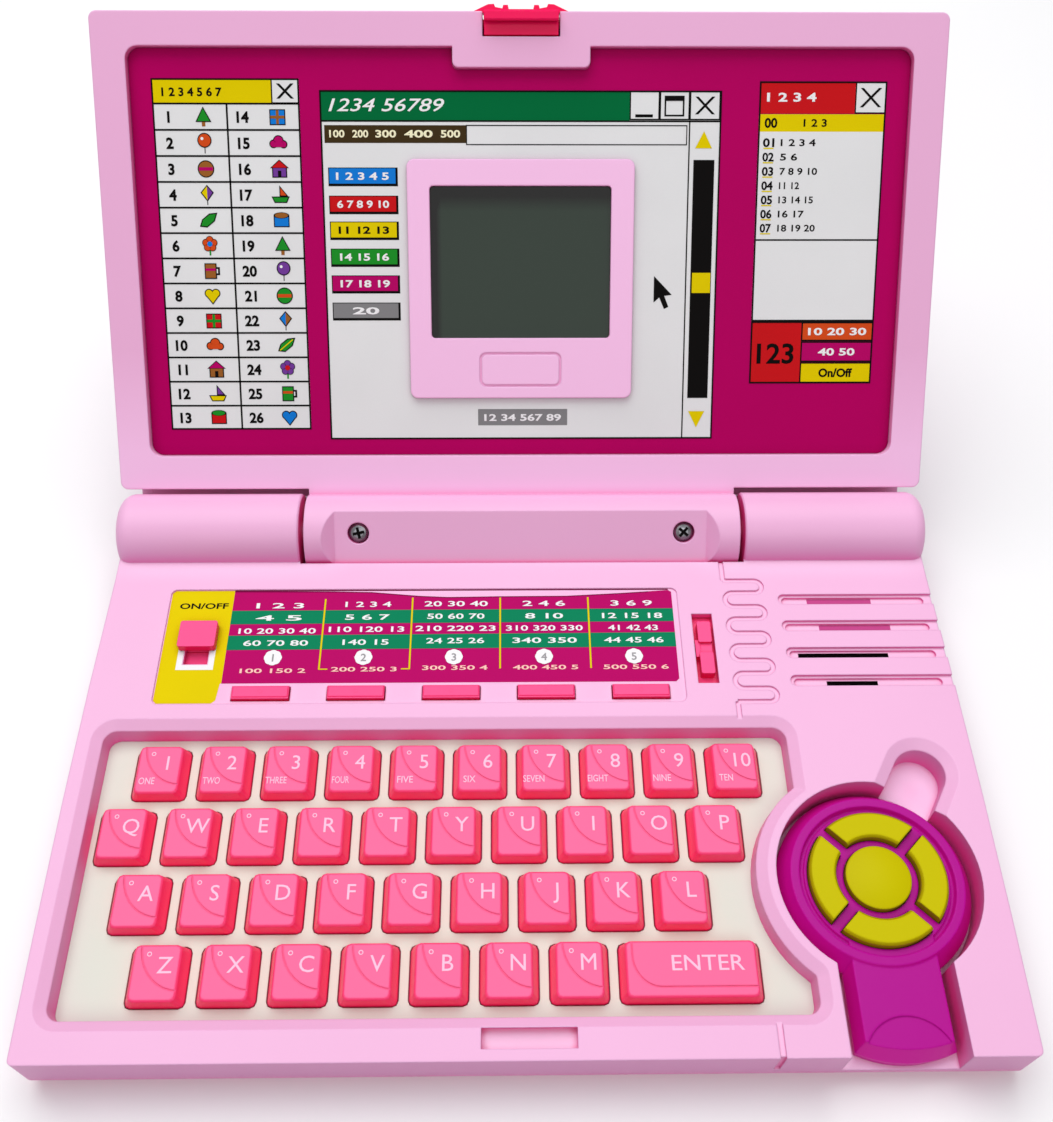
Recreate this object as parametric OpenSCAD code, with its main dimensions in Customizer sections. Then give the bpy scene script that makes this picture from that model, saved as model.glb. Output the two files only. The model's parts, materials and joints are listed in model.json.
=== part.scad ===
// Toy laptop computer: a clamshell learning computer for a child.
// x runs to the right, y to the back, z up, and the feet stand on z = 0.

/* [Base] */
// Width of the base
base_w = 260; // [240:1:300]
// Depth of the base from the hinge axis to the front face
base_front = 166.8; // [160:0.5:190]
// Height of the deck above the table
deck_z = 20; // [19:0.25:24]
// Height of the feet
foot_h = 2; // [1:0.25:3]
// Wall thickness of the base mouldings
wall = 2.4; // [1.6:0.1:3]
// Height of the joint between the top and bottom mouldings
parting_z = 6; // [5:0.25:7]

/* [Hinge] */
// Height of the hinge axis
axis_z = 18.5; // [17:0.25:21]
// Radius of the hinge barrels
barrel_r = 13; // [11:0.25:13.5]
// Length of the middle barrel, which belongs to the lid
mid_barrel_l = 140.2; // [120:1:160]
// Gap between the middle barrel and its neighbours
barrel_gap = 1.7; // [0.3:0.1:2.5]
// Radius of the hinge pins
pin_r = 4; // [3:0.25:5]
// Clearance of the pins in their bores
pin_play = 0.05; // [0.02:0.01:0.1]
// Angle that the lid stands open at
open_angle = 132.4; // [100:0.1:135]

/* [Lid] */
// How far the lid reaches past the base at each side
lid_overhang = 1.5; // [0:0.1:3]
// Width of the lid
lid_w = base_w + 2 * lid_overhang;
// Distance of the lid's lower edge from the hinge axis
lid_low = 14.5; // [14:0.1:16]
// Distance of the lid's upper edge from the hinge axis
lid_top = 161.3; // [155:0.1:185]
// Thickness of the whole lid
lid_t = 18; // [15:0.5:24]
// Width of the rim at the sides and the top
rim_w = 10.2; // [8:0.1:14]
// Depth of the screen card below the rim
card_depth = 2.7; // [2.4:0.1:3]
// Width of the small screen's window
lcd_w = 57.4; // [45:0.2:62]
// Height of the small screen's window
lcd_h = 47.2; // [38:0.2:50]

/* [Keyboard] */
// Distance from key to key along a row
key_pitch = 18.65; // [18:0.05:19.5]
// Distance from row to row
row_pitch = 19.55; // [19:0.05:20.5]
// Width of a key's top
key_top_w = 12.55; // [11:0.05:14]
// Depth of a key's top
key_top_d = 14.9; // [12:0.1:15.5]
// How far a key's left and right sides slope out
key_slope = 1.5; // [0.8:0.1:1.8]
// How far a key's front and back slope out
key_slope_y = 0.45; // [0.2:0.05:1]
// Height of a key above the plate
key_h = 4.5; // [4:0.1:6]
// Travel of a key
key_travel = 2; // [1.2:0.1:2.2]
// Depth of the keyboard plate below the deck
plate_drop = 7.5; // [6.5:0.1:8]
// Thickness of the keyboard plate
plate_t = 1.6; // [1.2:0.1:2]
// Width of the ENTER key's top
enter_w = 34.9; // [28:0.1:36]
// Gap round a key
key_gap = 0.35; // [0.3:0.05:0.6]

/* [Mouse] */
// Radius of the mouse's round body
mouse_r = 27; // [24:0.1:27.4]
// Gap between the mouse and its bay
mouse_gap = 1.2; // [0.8:0.1:2]
// Depth of the mouse bay below the deck
bay_depth = 12.4; // [11:0.2:12.4]
// Outer radius of the arrow pads
pad_r = 19; // [17:0.1:19.5]
// Inner radius of the arrow pads
pad_in_r = 11.6; // [10.8:0.1:13]
// Radius of the middle button
centre_r = 9; // [7:0.1:9.5]
// Travel of the mouse buttons
mouse_travel = 1.2; // [0.8:0.1:1.4]

/* [Controls] */
// Width of a function button
func_w = 17.1; // [14:0.1:18]
// Depth of a function button
func_d = 4.3; // [3.6:0.1:5]
// Travel of a function button
func_travel = 0.9; // [0.6:0.1:1.2]
// Travel of the power switch
power_travel = 6; // [4:0.25:6.5]
// Travel of the volume slider each way from its middle
volume_travel = 2.6; // [2:0.1:3]
// Radius of the speaker's frame
speaker_r = 17; // [15:0.25:18]

/* [Hidden] */
$fn = 64;
eps = 0.01;
seat_gap = 0.3;
letters = [["1", "2", "3", "4", "5", "6", "7", "8", "9", "10"],
           ["q", "w", "e", "r", "t", "y", "u", "i", "o", "p"],
           ["a", "s", "d", "f", "g", "h", "j", "k", "l"],
           ["z", "x", "c", "v", "b", "n", "m", "enter"]];
func_count = 5;

// Colours
pink = "#f7bfe4";
key_pink = "#ff5f9b";
cream = "#ece9de";
purple = "#b9149a";
lime = "#d7cd05";

// The hinge axis runs along x; the lid's own frame has y from the axis to its upper edge
// and z out of its inner face.
lid_turn = 180 - open_angle;
rim_z = axis_z - deck_z - seat_gap;
card_z = rim_z - card_depth;
card_t = 0.6;
shell_split = -8;
lid_back = rim_z - lid_t;
lid_round = 5;
lid_wall = 2.2;
// The part's origin is under the middle of its box
back_y = (lid_top - lid_round) * cos(lid_turn) - (lid_back + lid_round) * sin(lid_turn) + lid_round;
centre_y = (base_front - back_y) / 2;

// Base
half_w = base_w / 2;
edge_r = 1.5;
deck_t = 2.4;
deck_under = deck_z - deck_t;
floor_z = foot_h;
floor_top = floor_z + 2;
mid_half = mid_barrel_l / 2;
side_barrel_x = mid_half + barrel_gap;
pin_l = 8;
notch_r = barrel_r + 0.4;
rear_y = barrel_r;

// Rectangle with cut-round corners, centred
function slab_outline(w, d, r) = [for (k = [[1, 1, 0], [-1, 1, 90], [-1, -1, 180], [1, -1, 270]])
    for (a = [0:45:90]) [k[0] * (w / 2 - r) + r * cos(k[2] + a), k[1] * (d / 2 - r) + r * sin(k[2] + a)]];

// Keyboard
plate_z = deck_z - plate_drop;
key_base_w = key_top_w + 2 * key_slope;
key_corner = 1.4;
key_base_d = key_top_d + 2 * key_slope_y;
flange = 1.1;
flange_t = 1.2;
flange_top = plate_z - plate_t - seat_gap;
skirt_z = flange_top - flange_t;
board_t = 1.6;
board_z = floor_top + 0.6;
sheet_t = 0.8;
sheet_top = board_z + board_t + sheet_t;
plunger_z = sheet_top + key_travel + seat_gap;
dome_h = plunger_z - seat_gap - sheet_top;
row_y = [for (i = [0:3]) -84.42 - i * row_pitch];
row_x = [-106.4, -113.65, -106.15, -97.95];
enter_x = 43.7;
function key_x(r, i) = letters[r][i] == "enter" ? enter_x : row_x[r] + i * key_pitch;
function key_w(r, i) = letters[r][i] == "enter" ? enter_w : key_top_w;

// Mouse bay and keyboard well, as seen from above
mouse_c = [97, -119.3];
bay_r = mouse_r + mouse_gap;
bay_z = deck_z - bay_depth;
channel = [81.6, 112.5];
well_chamfer = 3.1;
well_draft = 0.6;
well_deck = well_chamfer + well_draft;
well_left = -123.3;
well_back = -73.1;
well_front = -155;
well_right = 76.9;
well_foot = channel[0] - 2.3 - well_deck;
well_ring = bay_r + 2.2 + well_deck;
board_x = [-half_w + wall + 5.6, well_foot - 11];
board_y = [well_front + 1.5, well_back - 2.1];

function arc(c, r, a0, a1, n) =
    [for (i = [0:n]) let (a = a0 + (a1 - a0) * i / n) [c[0] + r * cos(a), c[1] + r * sin(a)]];
// A corner's arc about a centre that stays put while the outline grows by g
function corner(x, y, sx, sy, r, g, a0) = arc([x - sx * r, y - sy * r], r + g, a0, a0 - 90, 8);
// The ring round the mouse bay runs from the well's right side to a small corner beside the
// channel: that corner's arc touches the ring at the same angle for any g
foot_r = 0.8;
foot_x = well_foot - foot_r;
ring_low = 180 + acos((mouse_c[0] - foot_x) / (well_ring + foot_r));
function ring_high(g) = 180 - acos((mouse_c[0] - well_right - g) / (well_ring - g));
foot_c = [foot_x, mouse_c[1] + (well_ring + foot_r) * sin(ring_low)];
// The base's outline, its sides a little fuller halfway down
side_bulge = 1;
base_side = [[-20, 0], [-58, 0.75], [-95, 1], [-132, 0.8], [-base_front + edge_r, 0.4]];
base_outline = concat(
    [[-half_w, rear_y]], [for (p = base_side) [-half_w - p[1] * side_bulge, p[0]]],
    arc([-half_w - 0.4 * side_bulge + edge_r, -base_front + edge_r], edge_r, 202.5, 270, 3),
    arc([half_w + 0.4 * side_bulge - edge_r, -base_front + edge_r], edge_r, 270, 337.5, 3),
    [for (i = [4:-1:0]) [half_w + base_side[i][1] * side_bulge, base_side[i][0]]], [[half_w, rear_y]]);
function reversed(list) = [for (i = [len(list) - 1:-1:0]) list[i]];
function well_outline(g) = reversed(concat(
    corner(well_left, well_back, -1, 1, 3.3, g, 180),
    corner(well_right, well_back, 1, 1, 3.6, g, 90),
    arc(mouse_c, well_ring - g, ring_high(g), ring_low, 18),
    arc(foot_c, foot_r + g, ring_low - 180, 0, 6),
    corner(well_foot, well_front, 1, -1, 3, g, 0),
    corner(well_left, well_front, -1, -1, 3, g, -90)));

// Solid through a stack of [outline, z] rings with the same number of points, capped at both ends
module loft(rings) {
    n = len(rings[0][0]);
    last = len(rings) - 1;
    polyhedron(
        points = [for (ring = rings) each [for (p = ring[0]) [p[0], p[1], ring[1]]]],
        faces = concat(
            [[for (i = [0:n - 1]) i]],
            [[for (i = [n - 1:-1:0]) last * n + i]],
            [for (k = [0:last - 1]) for (i = [0:n - 1]) [k * n + i, (k + 1) * n + i, (k + 1) * n + (i + 1) % n]],
            [for (k = [0:last - 1]) for (i = [0:n - 1]) [k * n + i, (k + 1) * n + (i + 1) % n, k * n + (i + 1) % n]]));
}

module stand() {
    translate([0, centre_y, 0]) children();
}

module lid_place() {
    stand() translate([0, 0, axis_z]) rotate([lid_turn, 0, 0]) children();
}

module box(x, y, z) {
    translate([x[0], y[0], z[0]]) cube([x[1] - x[0], y[1] - y[0], z[1] - z[0]]);
}

module bar_x(x, r) {
    translate([x[0], 0, 0]) rotate([0, 90, 0]) cylinder(r = r, h = x[1] - x[0]);
}

module round_slab(x, y, z, r) {
    box([x[0] + r, x[1] - r], y, z);
    box(x, [y[0] + r, y[1] - r], z);
    for (cx = [x[0] + r, x[1] - r])
        for (cy = [y[0] + r, y[1] - r])
            translate([cx, cy, z[0]]) cylinder(r = r, h = z[1] - z[0]);
}

// A slot with round ends along x
module slot_x(x, y, w, z) {
    box([x[0] + w / 2, x[1] - w / 2], [y - w / 2, y + w / 2], z);
    for (cx = [x[0] + w / 2, x[1] - w / 2]) translate([cx, y, z[0]]) cylinder(r = w / 2, h = z[1] - z[0]);
}

/* Base top case: deck, keyboard well, mouse bay, speaker slots and side barrels in one moulding */

module side_barrel() {
    end_r = 4.5;
    outer_x = half_w + 0.9 * side_bulge;
    translate([0, 0, axis_z]) rotate([90, 0, 90])
        rotate_extrude() polygon(concat([[0, side_barrel_x], [barrel_r - 0.6, side_barrel_x],
            [barrel_r, side_barrel_x + 0.6]], arc([barrel_r - end_r, outer_x - end_r], end_r, 0, 90, 8), [[0, outer_x]]));
}

module speaker_slots() {
    slot_pitch = 9.85;
    for (i = [0:3]) {
        y = -28 - i * slot_pitch;
        slot_x([81, half_w + 10], y, 3.8, [deck_z - 1, deck_z + 1]);
        slot_x([82.2, 127.6], y - 0.2, 2.8, [deck_z - 1.9, deck_z]);
    }
    slot_x([85, 113], -28.8 - 2 * slot_pitch, 1.3, [deck_under - 1, deck_z]);
    slot_x([92.4, 108], -28.8 - 3 * slot_pitch, 1.3, [deck_under - 1, deck_z]);
}

// A groove that runs down the deck in five fingers beside the speaker slots
module meander_groove() {
    groove_w = 1.5;
    groove_z = [deck_z - 0.6, deck_z + 1];
    finger_pitch = 9.85;
    first_y = -20.7;
    finger_h = 4.6;
    left_x = 64.2;
    turn_x = 74;
    r = finger_h / 2;
    back_r = (finger_pitch - finger_h) / 2;
    for (i = [0:4]) {
        y = first_y - i * finger_pitch;
        for (fy = [y, y - finger_h]) box([left_x + back_r, turn_x], [fy - groove_w / 2, fy + groove_w / 2], groove_z);
        half_turn([turn_x, y - r], r, groove_w, 1, groove_z);
        if (i < 4) half_turn([left_x + back_r, y - finger_h - back_r], back_r, groove_w, -1, groove_z);
    }
    box([left_x - groove_w / 2, left_x + groove_w / 2], [first_y, -barrel_r], groove_z);
    box([left_x, left_x + back_r + 1], [first_y - groove_w / 2, first_y + groove_w / 2], groove_z);
    low_y = first_y - 4 * finger_pitch - finger_h;
    box([left_x - groove_w / 2, left_x + groove_w / 2], [well_back + well_deck - 1, low_y], groove_z);
    box([left_x, left_x + back_r + 1], [low_y - groove_w / 2, low_y + groove_w / 2], groove_z);
}

module half_turn(c, r, w, side, z) {
    translate([c[0], c[1], z[0]]) difference() {
        cylinder(r = r + w / 2, h = z[1] - z[0]);
        translate([0, 0, -1]) cylinder(r = r - w / 2, h = z[1] - z[0] + 2);
        translate([side > 0 ? -2 * r - w : 0, -2 * r - w, -1]) cube([2 * r + w, 4 * r + 2 * w, z[1] - z[0] + 2]);
    }
}

// Scoop for a fingertip beside the mouse
scoop_angle = 60.5;
scoop_reach = 36.2;
scoop_r = 7.5;
scoop_z = deck_z - 10;
module finger_scoop(grow, z0) {
    translate([mouse_c[0], mouse_c[1], 0]) rotate([0, 0, scoop_angle]) {
        r = scoop_r + grow;
        translate([scoop_reach, 0, z0]) cylinder(r = r, h = deck_z + 1 - z0);
        box([bay_r - 8, scoop_reach], [-r, r], [z0, deck_z + 1]);
    }
}

module scoop_chamfer() {
    translate([mouse_c[0], mouse_c[1], deck_z - 2]) rotate([0, 0, scoop_angle]) {
        translate([scoop_reach, 0, 0]) cylinder(r1 = scoop_r, r2 = scoop_r + 3.3, h = 2 + eps);
        translate([bay_r - 8, 0, 0]) rotate([90, 0, 90]) linear_extrude(scoop_reach - bay_r + 8)
            polygon([[-scoop_r, 0], [scoop_r, 0], [scoop_r + 3.3, 2 + eps], [-scoop_r - 3.3, 2 + eps]]);
    }
}

module mouse_bay(grow, z0) {
    translate([mouse_c[0], mouse_c[1], z0]) cylinder(r = bay_r + grow, h = deck_z + 1 - z0);
    box([channel[0] - grow, channel[1] + grow], [-base_front - 1, mouse_c[1]], [z0, deck_z + 1]);
}

catch_x = [-11.9, 12.7];
catch_y = [-163.8, -158.55];
catch_depth = 3.5;
lip = 0.9;
lip_t = 1.4;
strip = [-111.3, 49, -64.6, -23.4];
func_x0 = strip[0] + 23.65;
func_pitch = (strip[1] - 5.15 - func_w - func_x0) / (func_count - 1);
func_y = -58.9;
strip_z = deck_z - 0.5;
power_x = [-106, -94.6];
power_y = [-45.9, -36.6];
volume_x = [52.9, 59.3];
volume_y = [-58.3, -33.3];
volume_mid = (volume_y[0] + volume_y[1]) / 2;
volume_knob = [54.2, 58.4];
volume_knob_l = 18.7;
post_at = [[-118, -64], [70, -24], [-118, -160.4], [58, -160.4]];
post_r = 2.4;

module base_top_case() {
    color(pink) stand() difference() {
        union() {
            difference() {
                union() {
                    translate([0, 0, parting_z]) linear_extrude(deck_z - parting_z) polygon(base_outline);
                    side_barrel();
                    mirror([1, 0, 0]) side_barrel();
                }
                // the deck ends at the barrels' crease, and the barrels are the rear of the case
                box([-half_w - 1, half_w + 1], [-barrel_r * 2, rear_y + 1], [0, parting_z]);
                difference() {
                    box([-half_w + wall, half_w - wall], [-base_front + wall, -notch_r - wall], [0, deck_under]);
                    translate([0, 0, plate_z]) linear_extrude(deck_z) polygon(well_outline(wall));
                    mouse_bay(wall + 0.4, 0);
                    finger_scoop(wall, scoop_z - wall);
                    box([catch_x[0] - 2, catch_x[1] + 2], [-base_front, catch_y[1] + 3], [deck_z - catch_depth - 2, deck_z]);
                    for (p = post_at) translate([p[0], p[1], floor_top]) cylinder(r = post_r, h = deck_z - floor_top);
                }
                // each barrel is hollow apart from its inner end
                for (s = [-1, 1])
                    translate([0, 0, axis_z])
                        bar_x(s > 0 ? [side_barrel_x + 3, half_w - 3] : [-half_w + 3, -side_barrel_x - 3], barrel_r - wall);
            }
        }
        // space for the lid's barrel, open to the back
        translate([0, 0, axis_z]) bar_x([-side_barrel_x, side_barrel_x], notch_r);
        box([-side_barrel_x, side_barrel_x], [-2, rear_y + 1], [parting_z + 4, axis_z + barrel_r]);
        linear_extrude(deck_z) polygon(well_outline(0));
        loft([[well_outline(0), plate_z - eps], [well_outline(well_draft), deck_z - 2],
              [well_outline(well_deck), deck_z + eps]]);
        mouse_bay(0, bay_z);
        finger_scoop(0, scoop_z);
        scoop_chamfer();
        speaker_slots();
        meander_groove();
        // front groove from the well over the front edge
        box([63.6, 65.2], [-base_front - 1, well_front - well_deck + 1], [deck_z - 0.6, deck_z + 1]);
        box([63.6, 65.2], [-base_front - 1, -base_front + 0.6], [parting_z + 3, deck_z]);
        // recess of the function strip, with its five button holes
        round_slab([strip[0], strip[1]], [strip[2], strip[3]], [strip_z, deck_z + 1], 2);
        for (i = [0:func_count - 1])
            box([func_x0 + i * func_pitch - seat_gap, func_x0 + i * func_pitch + func_w + seat_gap],
                [func_y - func_d - seat_gap, func_y + seat_gap], [deck_under - 1, deck_z]);
        // slots of the power switch and the volume slider
        box([power_x[0] + 2, power_x[1] - 2], [power_y[0] + 1.6 - power_travel - seat_gap, power_y[1] - 1.6 + seat_gap],
            [deck_under - 1, deck_z]);
        box(volume_x, volume_y, [deck_under - 1, deck_z + 1]);
        // catch of the latch, with a lip at its back
        box(catch_x, catch_y, [deck_z - catch_depth, deck_z + 1]);
        box(catch_x, [catch_y[1] - 1, catch_y[1] + lip], [deck_z - catch_depth, deck_z - lip_t]);
        for (p = post_at) translate([p[0], p[1], 0]) cylinder(r = 1, h = deck_under - 3);
    }
    color(pink) stand() translate([0, 0, axis_z]) for (s = [-1, 1])
        bar_x(s > 0 ? [side_barrel_x - pin_l, side_barrel_x + 2] : [-side_barrel_x - 2, pin_l - side_barrel_x], pin_r);
}

/* Base bottom case: a tray with rounded lower edges, feet and the battery bay's opening */

door_x = [-46, 46];
door_y = [-62, -18];
door_screw = [0, -22];
feet_at = [[-116, -154], [116, -154], [-116, 4.5], [116, 4.5]];

module base_bottom_case() {
    color(pink) stand() difference() {
        union() {
            difference() {
                hull() {
                    translate([0, 0, parting_z - 1]) linear_extrude(1) intersection() {
                        polygon(base_outline);
                        translate([-half_w * 2, -base_front * 2]) square([half_w * 4, base_front * 2 + rear_y - 2.4]);
                    }
                    round_slab([-half_w + 3.4, half_w - 3.4], [-base_front + 3.4, rear_y - 4], [floor_z, floor_z + 1], 3);
                }
                box([-half_w + wall + 1.4, half_w - wall - 1.4], [-base_front + wall + 1.4, rear_y - wall - 3.4],
                    [floor_top, parting_z + 1]);
            }
            for (p = feet_at) translate([p[0], p[1], 0]) cylinder(r1 = 4.2, r2 = 5, h = floor_z + 0.5);
            // cradle under the lid's barrel
            box([-side_barrel_x - 3, side_barrel_x + 3], [-barrel_r, rear_y - wall - 3], [floor_top - eps, floor_top + 1]);
            for (x = [-110, -30, 52]) for (y = [-150, -79])
                translate([x, y, floor_top - eps]) cylinder(r = 3, h = board_z - floor_top + eps);
        }
        round_slab([door_x[0] - seat_gap, door_x[1] + seat_gap], [door_y[0] - seat_gap, door_y[1] + seat_gap],
            [0, floor_top + 1], 2);
        for (p = post_at) {
            translate([p[0], p[1], 0]) cylinder(r = 2.8, h = floor_z + 0.8);
            translate([p[0], p[1], 0]) cylinder(r = 1.4, h = parting_z);
        }
    }
}

module battery_door() {
    color(pink) stand() difference() {
        union() {
            round_slab(door_x, door_y, [floor_z, floor_top], 2);
            for (x = [-28, 28]) box([x - 5, x + 5], [door_y[0] - 3, door_y[0] + 4], [floor_top, floor_top + 1.4]);
            box([-6, 6], [door_y[1] - 5, door_y[1] + 3], [floor_top, floor_top + 1.4]);
        }
        translate([door_screw[0], door_screw[1], 0]) cylinder(r = 3, h = floor_z + 0.8);
        translate([door_screw[0], door_screw[1], 0]) cylinder(r = 1.3, h = parting_z);
        for (i = [-2:2]) box([i * 5 - 1, i * 5 + 1], [-32, -26], [0, floor_z + 0.5]);
    }
}

/* Keyboard */

module key_hole(r, i) {
    w = key_w(r, i) + 2 * key_slope + 2 * key_gap;
    d = key_base_d + 2 * key_gap;
    translate([key_x(r, i), row_y[r], plate_z - plate_t - 1]) linear_extrude(plate_t + 2)
        polygon(slab_outline(w, d, key_corner + key_gap));
}

module keyboard_plate() {
    color(cream) stand() difference() {
        translate([0, 0, plate_z - plate_t]) linear_extrude(plate_t) polygon(well_outline(wall - 0.6));
        for (r = [0:3]) for (i = [0:len(letters[r]) - 1]) key_hole(r, i);
    }
}

module key_membrane() {
    color("#8f9aa3") stand() difference() {
        union() {
            box(board_x, board_y, [sheet_top - sheet_t, sheet_top]);
            for (r = [0:3]) for (i = [0:len(letters[r]) - 1])
                translate([key_x(r, i), row_y[r], sheet_top - eps]) cylinder(r1 = 5.2, r2 = 4.2, h = dome_h, $fn = 8);
        }
        for (r = [0:3]) for (i = [0:len(letters[r]) - 1])
            translate([key_x(r, i), row_y[r], sheet_top]) cylinder(r = 3.4, h = dome_h + 1, $fn = 8);
    }
}

module circuit_board() {
    color("#2f7a46") stand() box(board_x, board_y, [board_z, board_z + board_t]);
}

// Curved line cut across a key's top: down from its back edge, then round to its right edge
function sweep_line(w, d, g) =
    let (r = w > 20 ? [7.6, 8.5] : [11.4, 12.5], c = [1.65 - w / 2 + r[0], r[1] - 0.33 * d])
    concat([[c[0] - r[0] + g, d / 2 + 1]],
           [for (a = [180:10:270]) [c[0] + (r[0] - g) * cos(a), c[1] + (r[1] - g) * sin(a)]],
           [[w / 2 + 1, c[1] - r[1] + g]]);

module keycap(r, i) {
    w = key_w(r, i);
    bw = w + 2 * key_slope;
    edge = 0.5;
    color(key_pink) stand() translate([key_x(r, i), row_y[r], 0]) difference() {
        union() {
            difference() {
                union() {
                    translate([-bw / 2 - flange, -key_base_d / 2 - flange, skirt_z])
                        cube([bw + 2 * flange, key_base_d + 2 * flange, flange_t]);
                    loft([[slab_outline(bw, key_base_d, key_corner), skirt_z],
                          [slab_outline(bw, key_base_d, key_corner), plate_z],
                          [slab_outline(w, key_top_d, key_corner), plate_z + key_h - edge],
                          [slab_outline(w - 2 * edge, key_top_d - 2 * edge, key_corner - 0.3), plate_z + key_h]]);
                }
                translate([-bw / 2 + 1.6, -key_base_d / 2 + 1.6, skirt_z - 1])
                    cube([bw - 3.2, key_base_d - 3.2, plate_z + 1 - skirt_z + key_h - 3]);
            }
            translate([0, 0, plunger_z]) cylinder(r = 2.3, h = plate_z + key_h - 2 - plunger_z, $fn = 8);
        }
        translate([0, 0, plate_z + key_h - 0.25]) linear_extrude(1) intersection() {
            polygon(concat(sweep_line(w, key_top_d, 0), reversed(sweep_line(w, key_top_d, 0.35))));
            square([w, key_top_d], center = true);
        }
    }
}

/* Speaker under the slots */

speaker_at = [100.5, -44];
module speaker() {
    color("#1d1d20") stand() translate([speaker_at[0], speaker_at[1], deck_under]) rotate_extrude()
        polygon([[0, -9.5], [7.5, -9.5], [7.5, -5], [speaker_r - 2, -2.2], [speaker_r, -2.2], [speaker_r, 0],
                 [speaker_r - 1.6, 0], [speaker_r - 3.4, -1.2], [5, -3.4], [3, -2.6], [0, -2.2]]);
}

/* Sliding controls */

module power_switch() {
    stem_x = [power_x[0] + 2 + seat_gap, power_x[1] - 2 - seat_gap];
    stem_y = [power_y[0] + 1.6, power_y[1] - 1.6];
    color(key_pink) stand() {
        round_slab(power_x, power_y, [deck_z - 0.2, deck_z + 2.4], 0.8);
        box(stem_x, stem_y, [deck_under - seat_gap - 1.2, deck_z]);
        box([power_x[0], power_x[1]], [stem_y[0] - 0.5, stem_y[1] + 0.5],
            [deck_under - seat_gap - 1.2, deck_under - seat_gap]);
    }
}

module volume_slider() {
    y0 = volume_mid - volume_knob_l / 2;
    y1 = volume_mid + volume_knob_l / 2;
    color(key_pink) stand() {
        box([volume_x[0] - 2.5, volume_x[1] + 2.5], [volume_y[0] - volume_travel - 1.5, volume_y[1] + volume_travel + 1.5],
            [deck_under - seat_gap - 1.4, deck_under - seat_gap]);
        round_slab(volume_knob, [y0, y1], [deck_under - seat_gap - eps, deck_z - 0.6], 0.6);
        // two finger blocks with a saddle between them
        for (s = [-1, 1]) translate([0, volume_mid + s * (volume_knob_l / 4 + 0.9), 0])
            round_slab(volume_knob, [0.9 - volume_knob_l / 4, volume_knob_l / 4 - 0.9], [deck_z - 0.7, deck_z + 0.5], 0.6);
        // grip step across the middle
        box([volume_x[0] + seat_gap, volume_knob[0] + 0.5], [volume_mid - 3, volume_mid + 3],
            [deck_under - seat_gap - eps, deck_z - 0.4]);
    }
}

module function_button(i) {
    x = func_x0 + (i - 1) * func_pitch;
    color(key_pink) stand() {
        box([x, x + func_w], [func_y - func_d, func_y], [deck_under - seat_gap - 1, deck_z + 0.6]);
        box([x - 1.2, x + func_w + 1.2], [func_y - func_d - 1, func_y + 1],
            [deck_under - seat_gap - 1.2, deck_under - seat_gap]);
    }
}

/* Mouse: two shells, an arrow ring and a middle button */

mouse_floor = bay_z + seat_gap;
mouse_rim_z = deck_z - 2;
mouse_face_z = deck_z - 2.8;
handle_x = [84.6, 111.3];
handle_mid = (handle_x[0] + handle_x[1]) / 2;
handle_half = (handle_x[1] - handle_x[0]) / 2;
handle_front = -163.6;

module mouse_profile(extra) {
    translate([mouse_c[0], mouse_c[1], 0]) rotate_extrude() polygon([
        [0, mouse_floor + 3], [mouse_r, mouse_floor + 3], [mouse_r, mouse_floor + 4.6],
        [mouse_r - 3.2, mouse_rim_z], [pad_r + 2.5, mouse_rim_z],
        [pad_r + 2, mouse_face_z - 0.8], [pad_r + 1.2, mouse_face_z - 0.8], [pad_r + 1, mouse_face_z],
        [0, mouse_face_z]]);
}

// Handle outline with a front edge that bows out by sag
function handle_outline(half, front, sag) = let (r = (half * half + sag * sag) / (2 * sag), a = asin(half / r)) concat(
    [[handle_mid + half, mouse_c[1] - 15], [handle_mid - half, mouse_c[1] - 15]],
    arc([handle_mid, front - sag + r], r, 270 - a, 270 + a, 10));

module mouse_top_shell() {
    cavity_r = pad_r + 1.4;
    color(purple) stand() difference() {
        union() {
            mouse_profile(0);
            hull() {
                translate([0, 0, mouse_floor + 3]) linear_extrude(1) polygon(handle_outline(handle_half, handle_front, 2.8));
                translate([0, 0, mouse_face_z - 1]) linear_extrude(1) polygon(handle_outline(handle_half - 1.9, handle_front + 1.5, 1.7));
            }
        }
        // well that holds the arrow ring and the middle button
        translate([mouse_c[0], mouse_c[1], mouse_floor]) cylinder(r = cavity_r, h = mouse_face_z - 1.6 - mouse_floor);
        arrow_pads(seat_gap, mouse_face_z - 3, mouse_face_z + 1);
        translate([mouse_c[0], mouse_c[1], mouse_floor]) cylinder(r = centre_r + seat_gap, h = deck_z);
        // step of the thumb rest
        translate([handle_mid, handle_front - 4.2, mouse_face_z - 0.5]) cylinder(r = 12, h = 4);
    }
}

module arrow_pads(grow, z0, z1, edge = 0) {
    gap = 3.4 - 2 * grow;
    h = z1 - z0;
    translate([mouse_c[0], mouse_c[1], z0]) difference() {
        union() {
            cylinder(r = pad_r + grow, h = h - edge);
            if (edge > 0) translate([0, 0, h - edge - eps]) cylinder(r1 = pad_r, r2 = pad_r - edge, h = edge + eps);
        }
        translate([0, 0, -1]) cylinder(r = pad_in_r - grow, h = h + 2);
        if (edge > 0) translate([0, 0, h - edge]) cylinder(r1 = pad_in_r - eps, r2 = pad_in_r + edge, h = edge + eps);
        for (a = [45, 135]) rotate([0, 0, a]) translate([-pad_r * 2, -gap / 2, -1]) cube([pad_r * 4, gap, z1 - z0 + 2]);
    }
}

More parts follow.
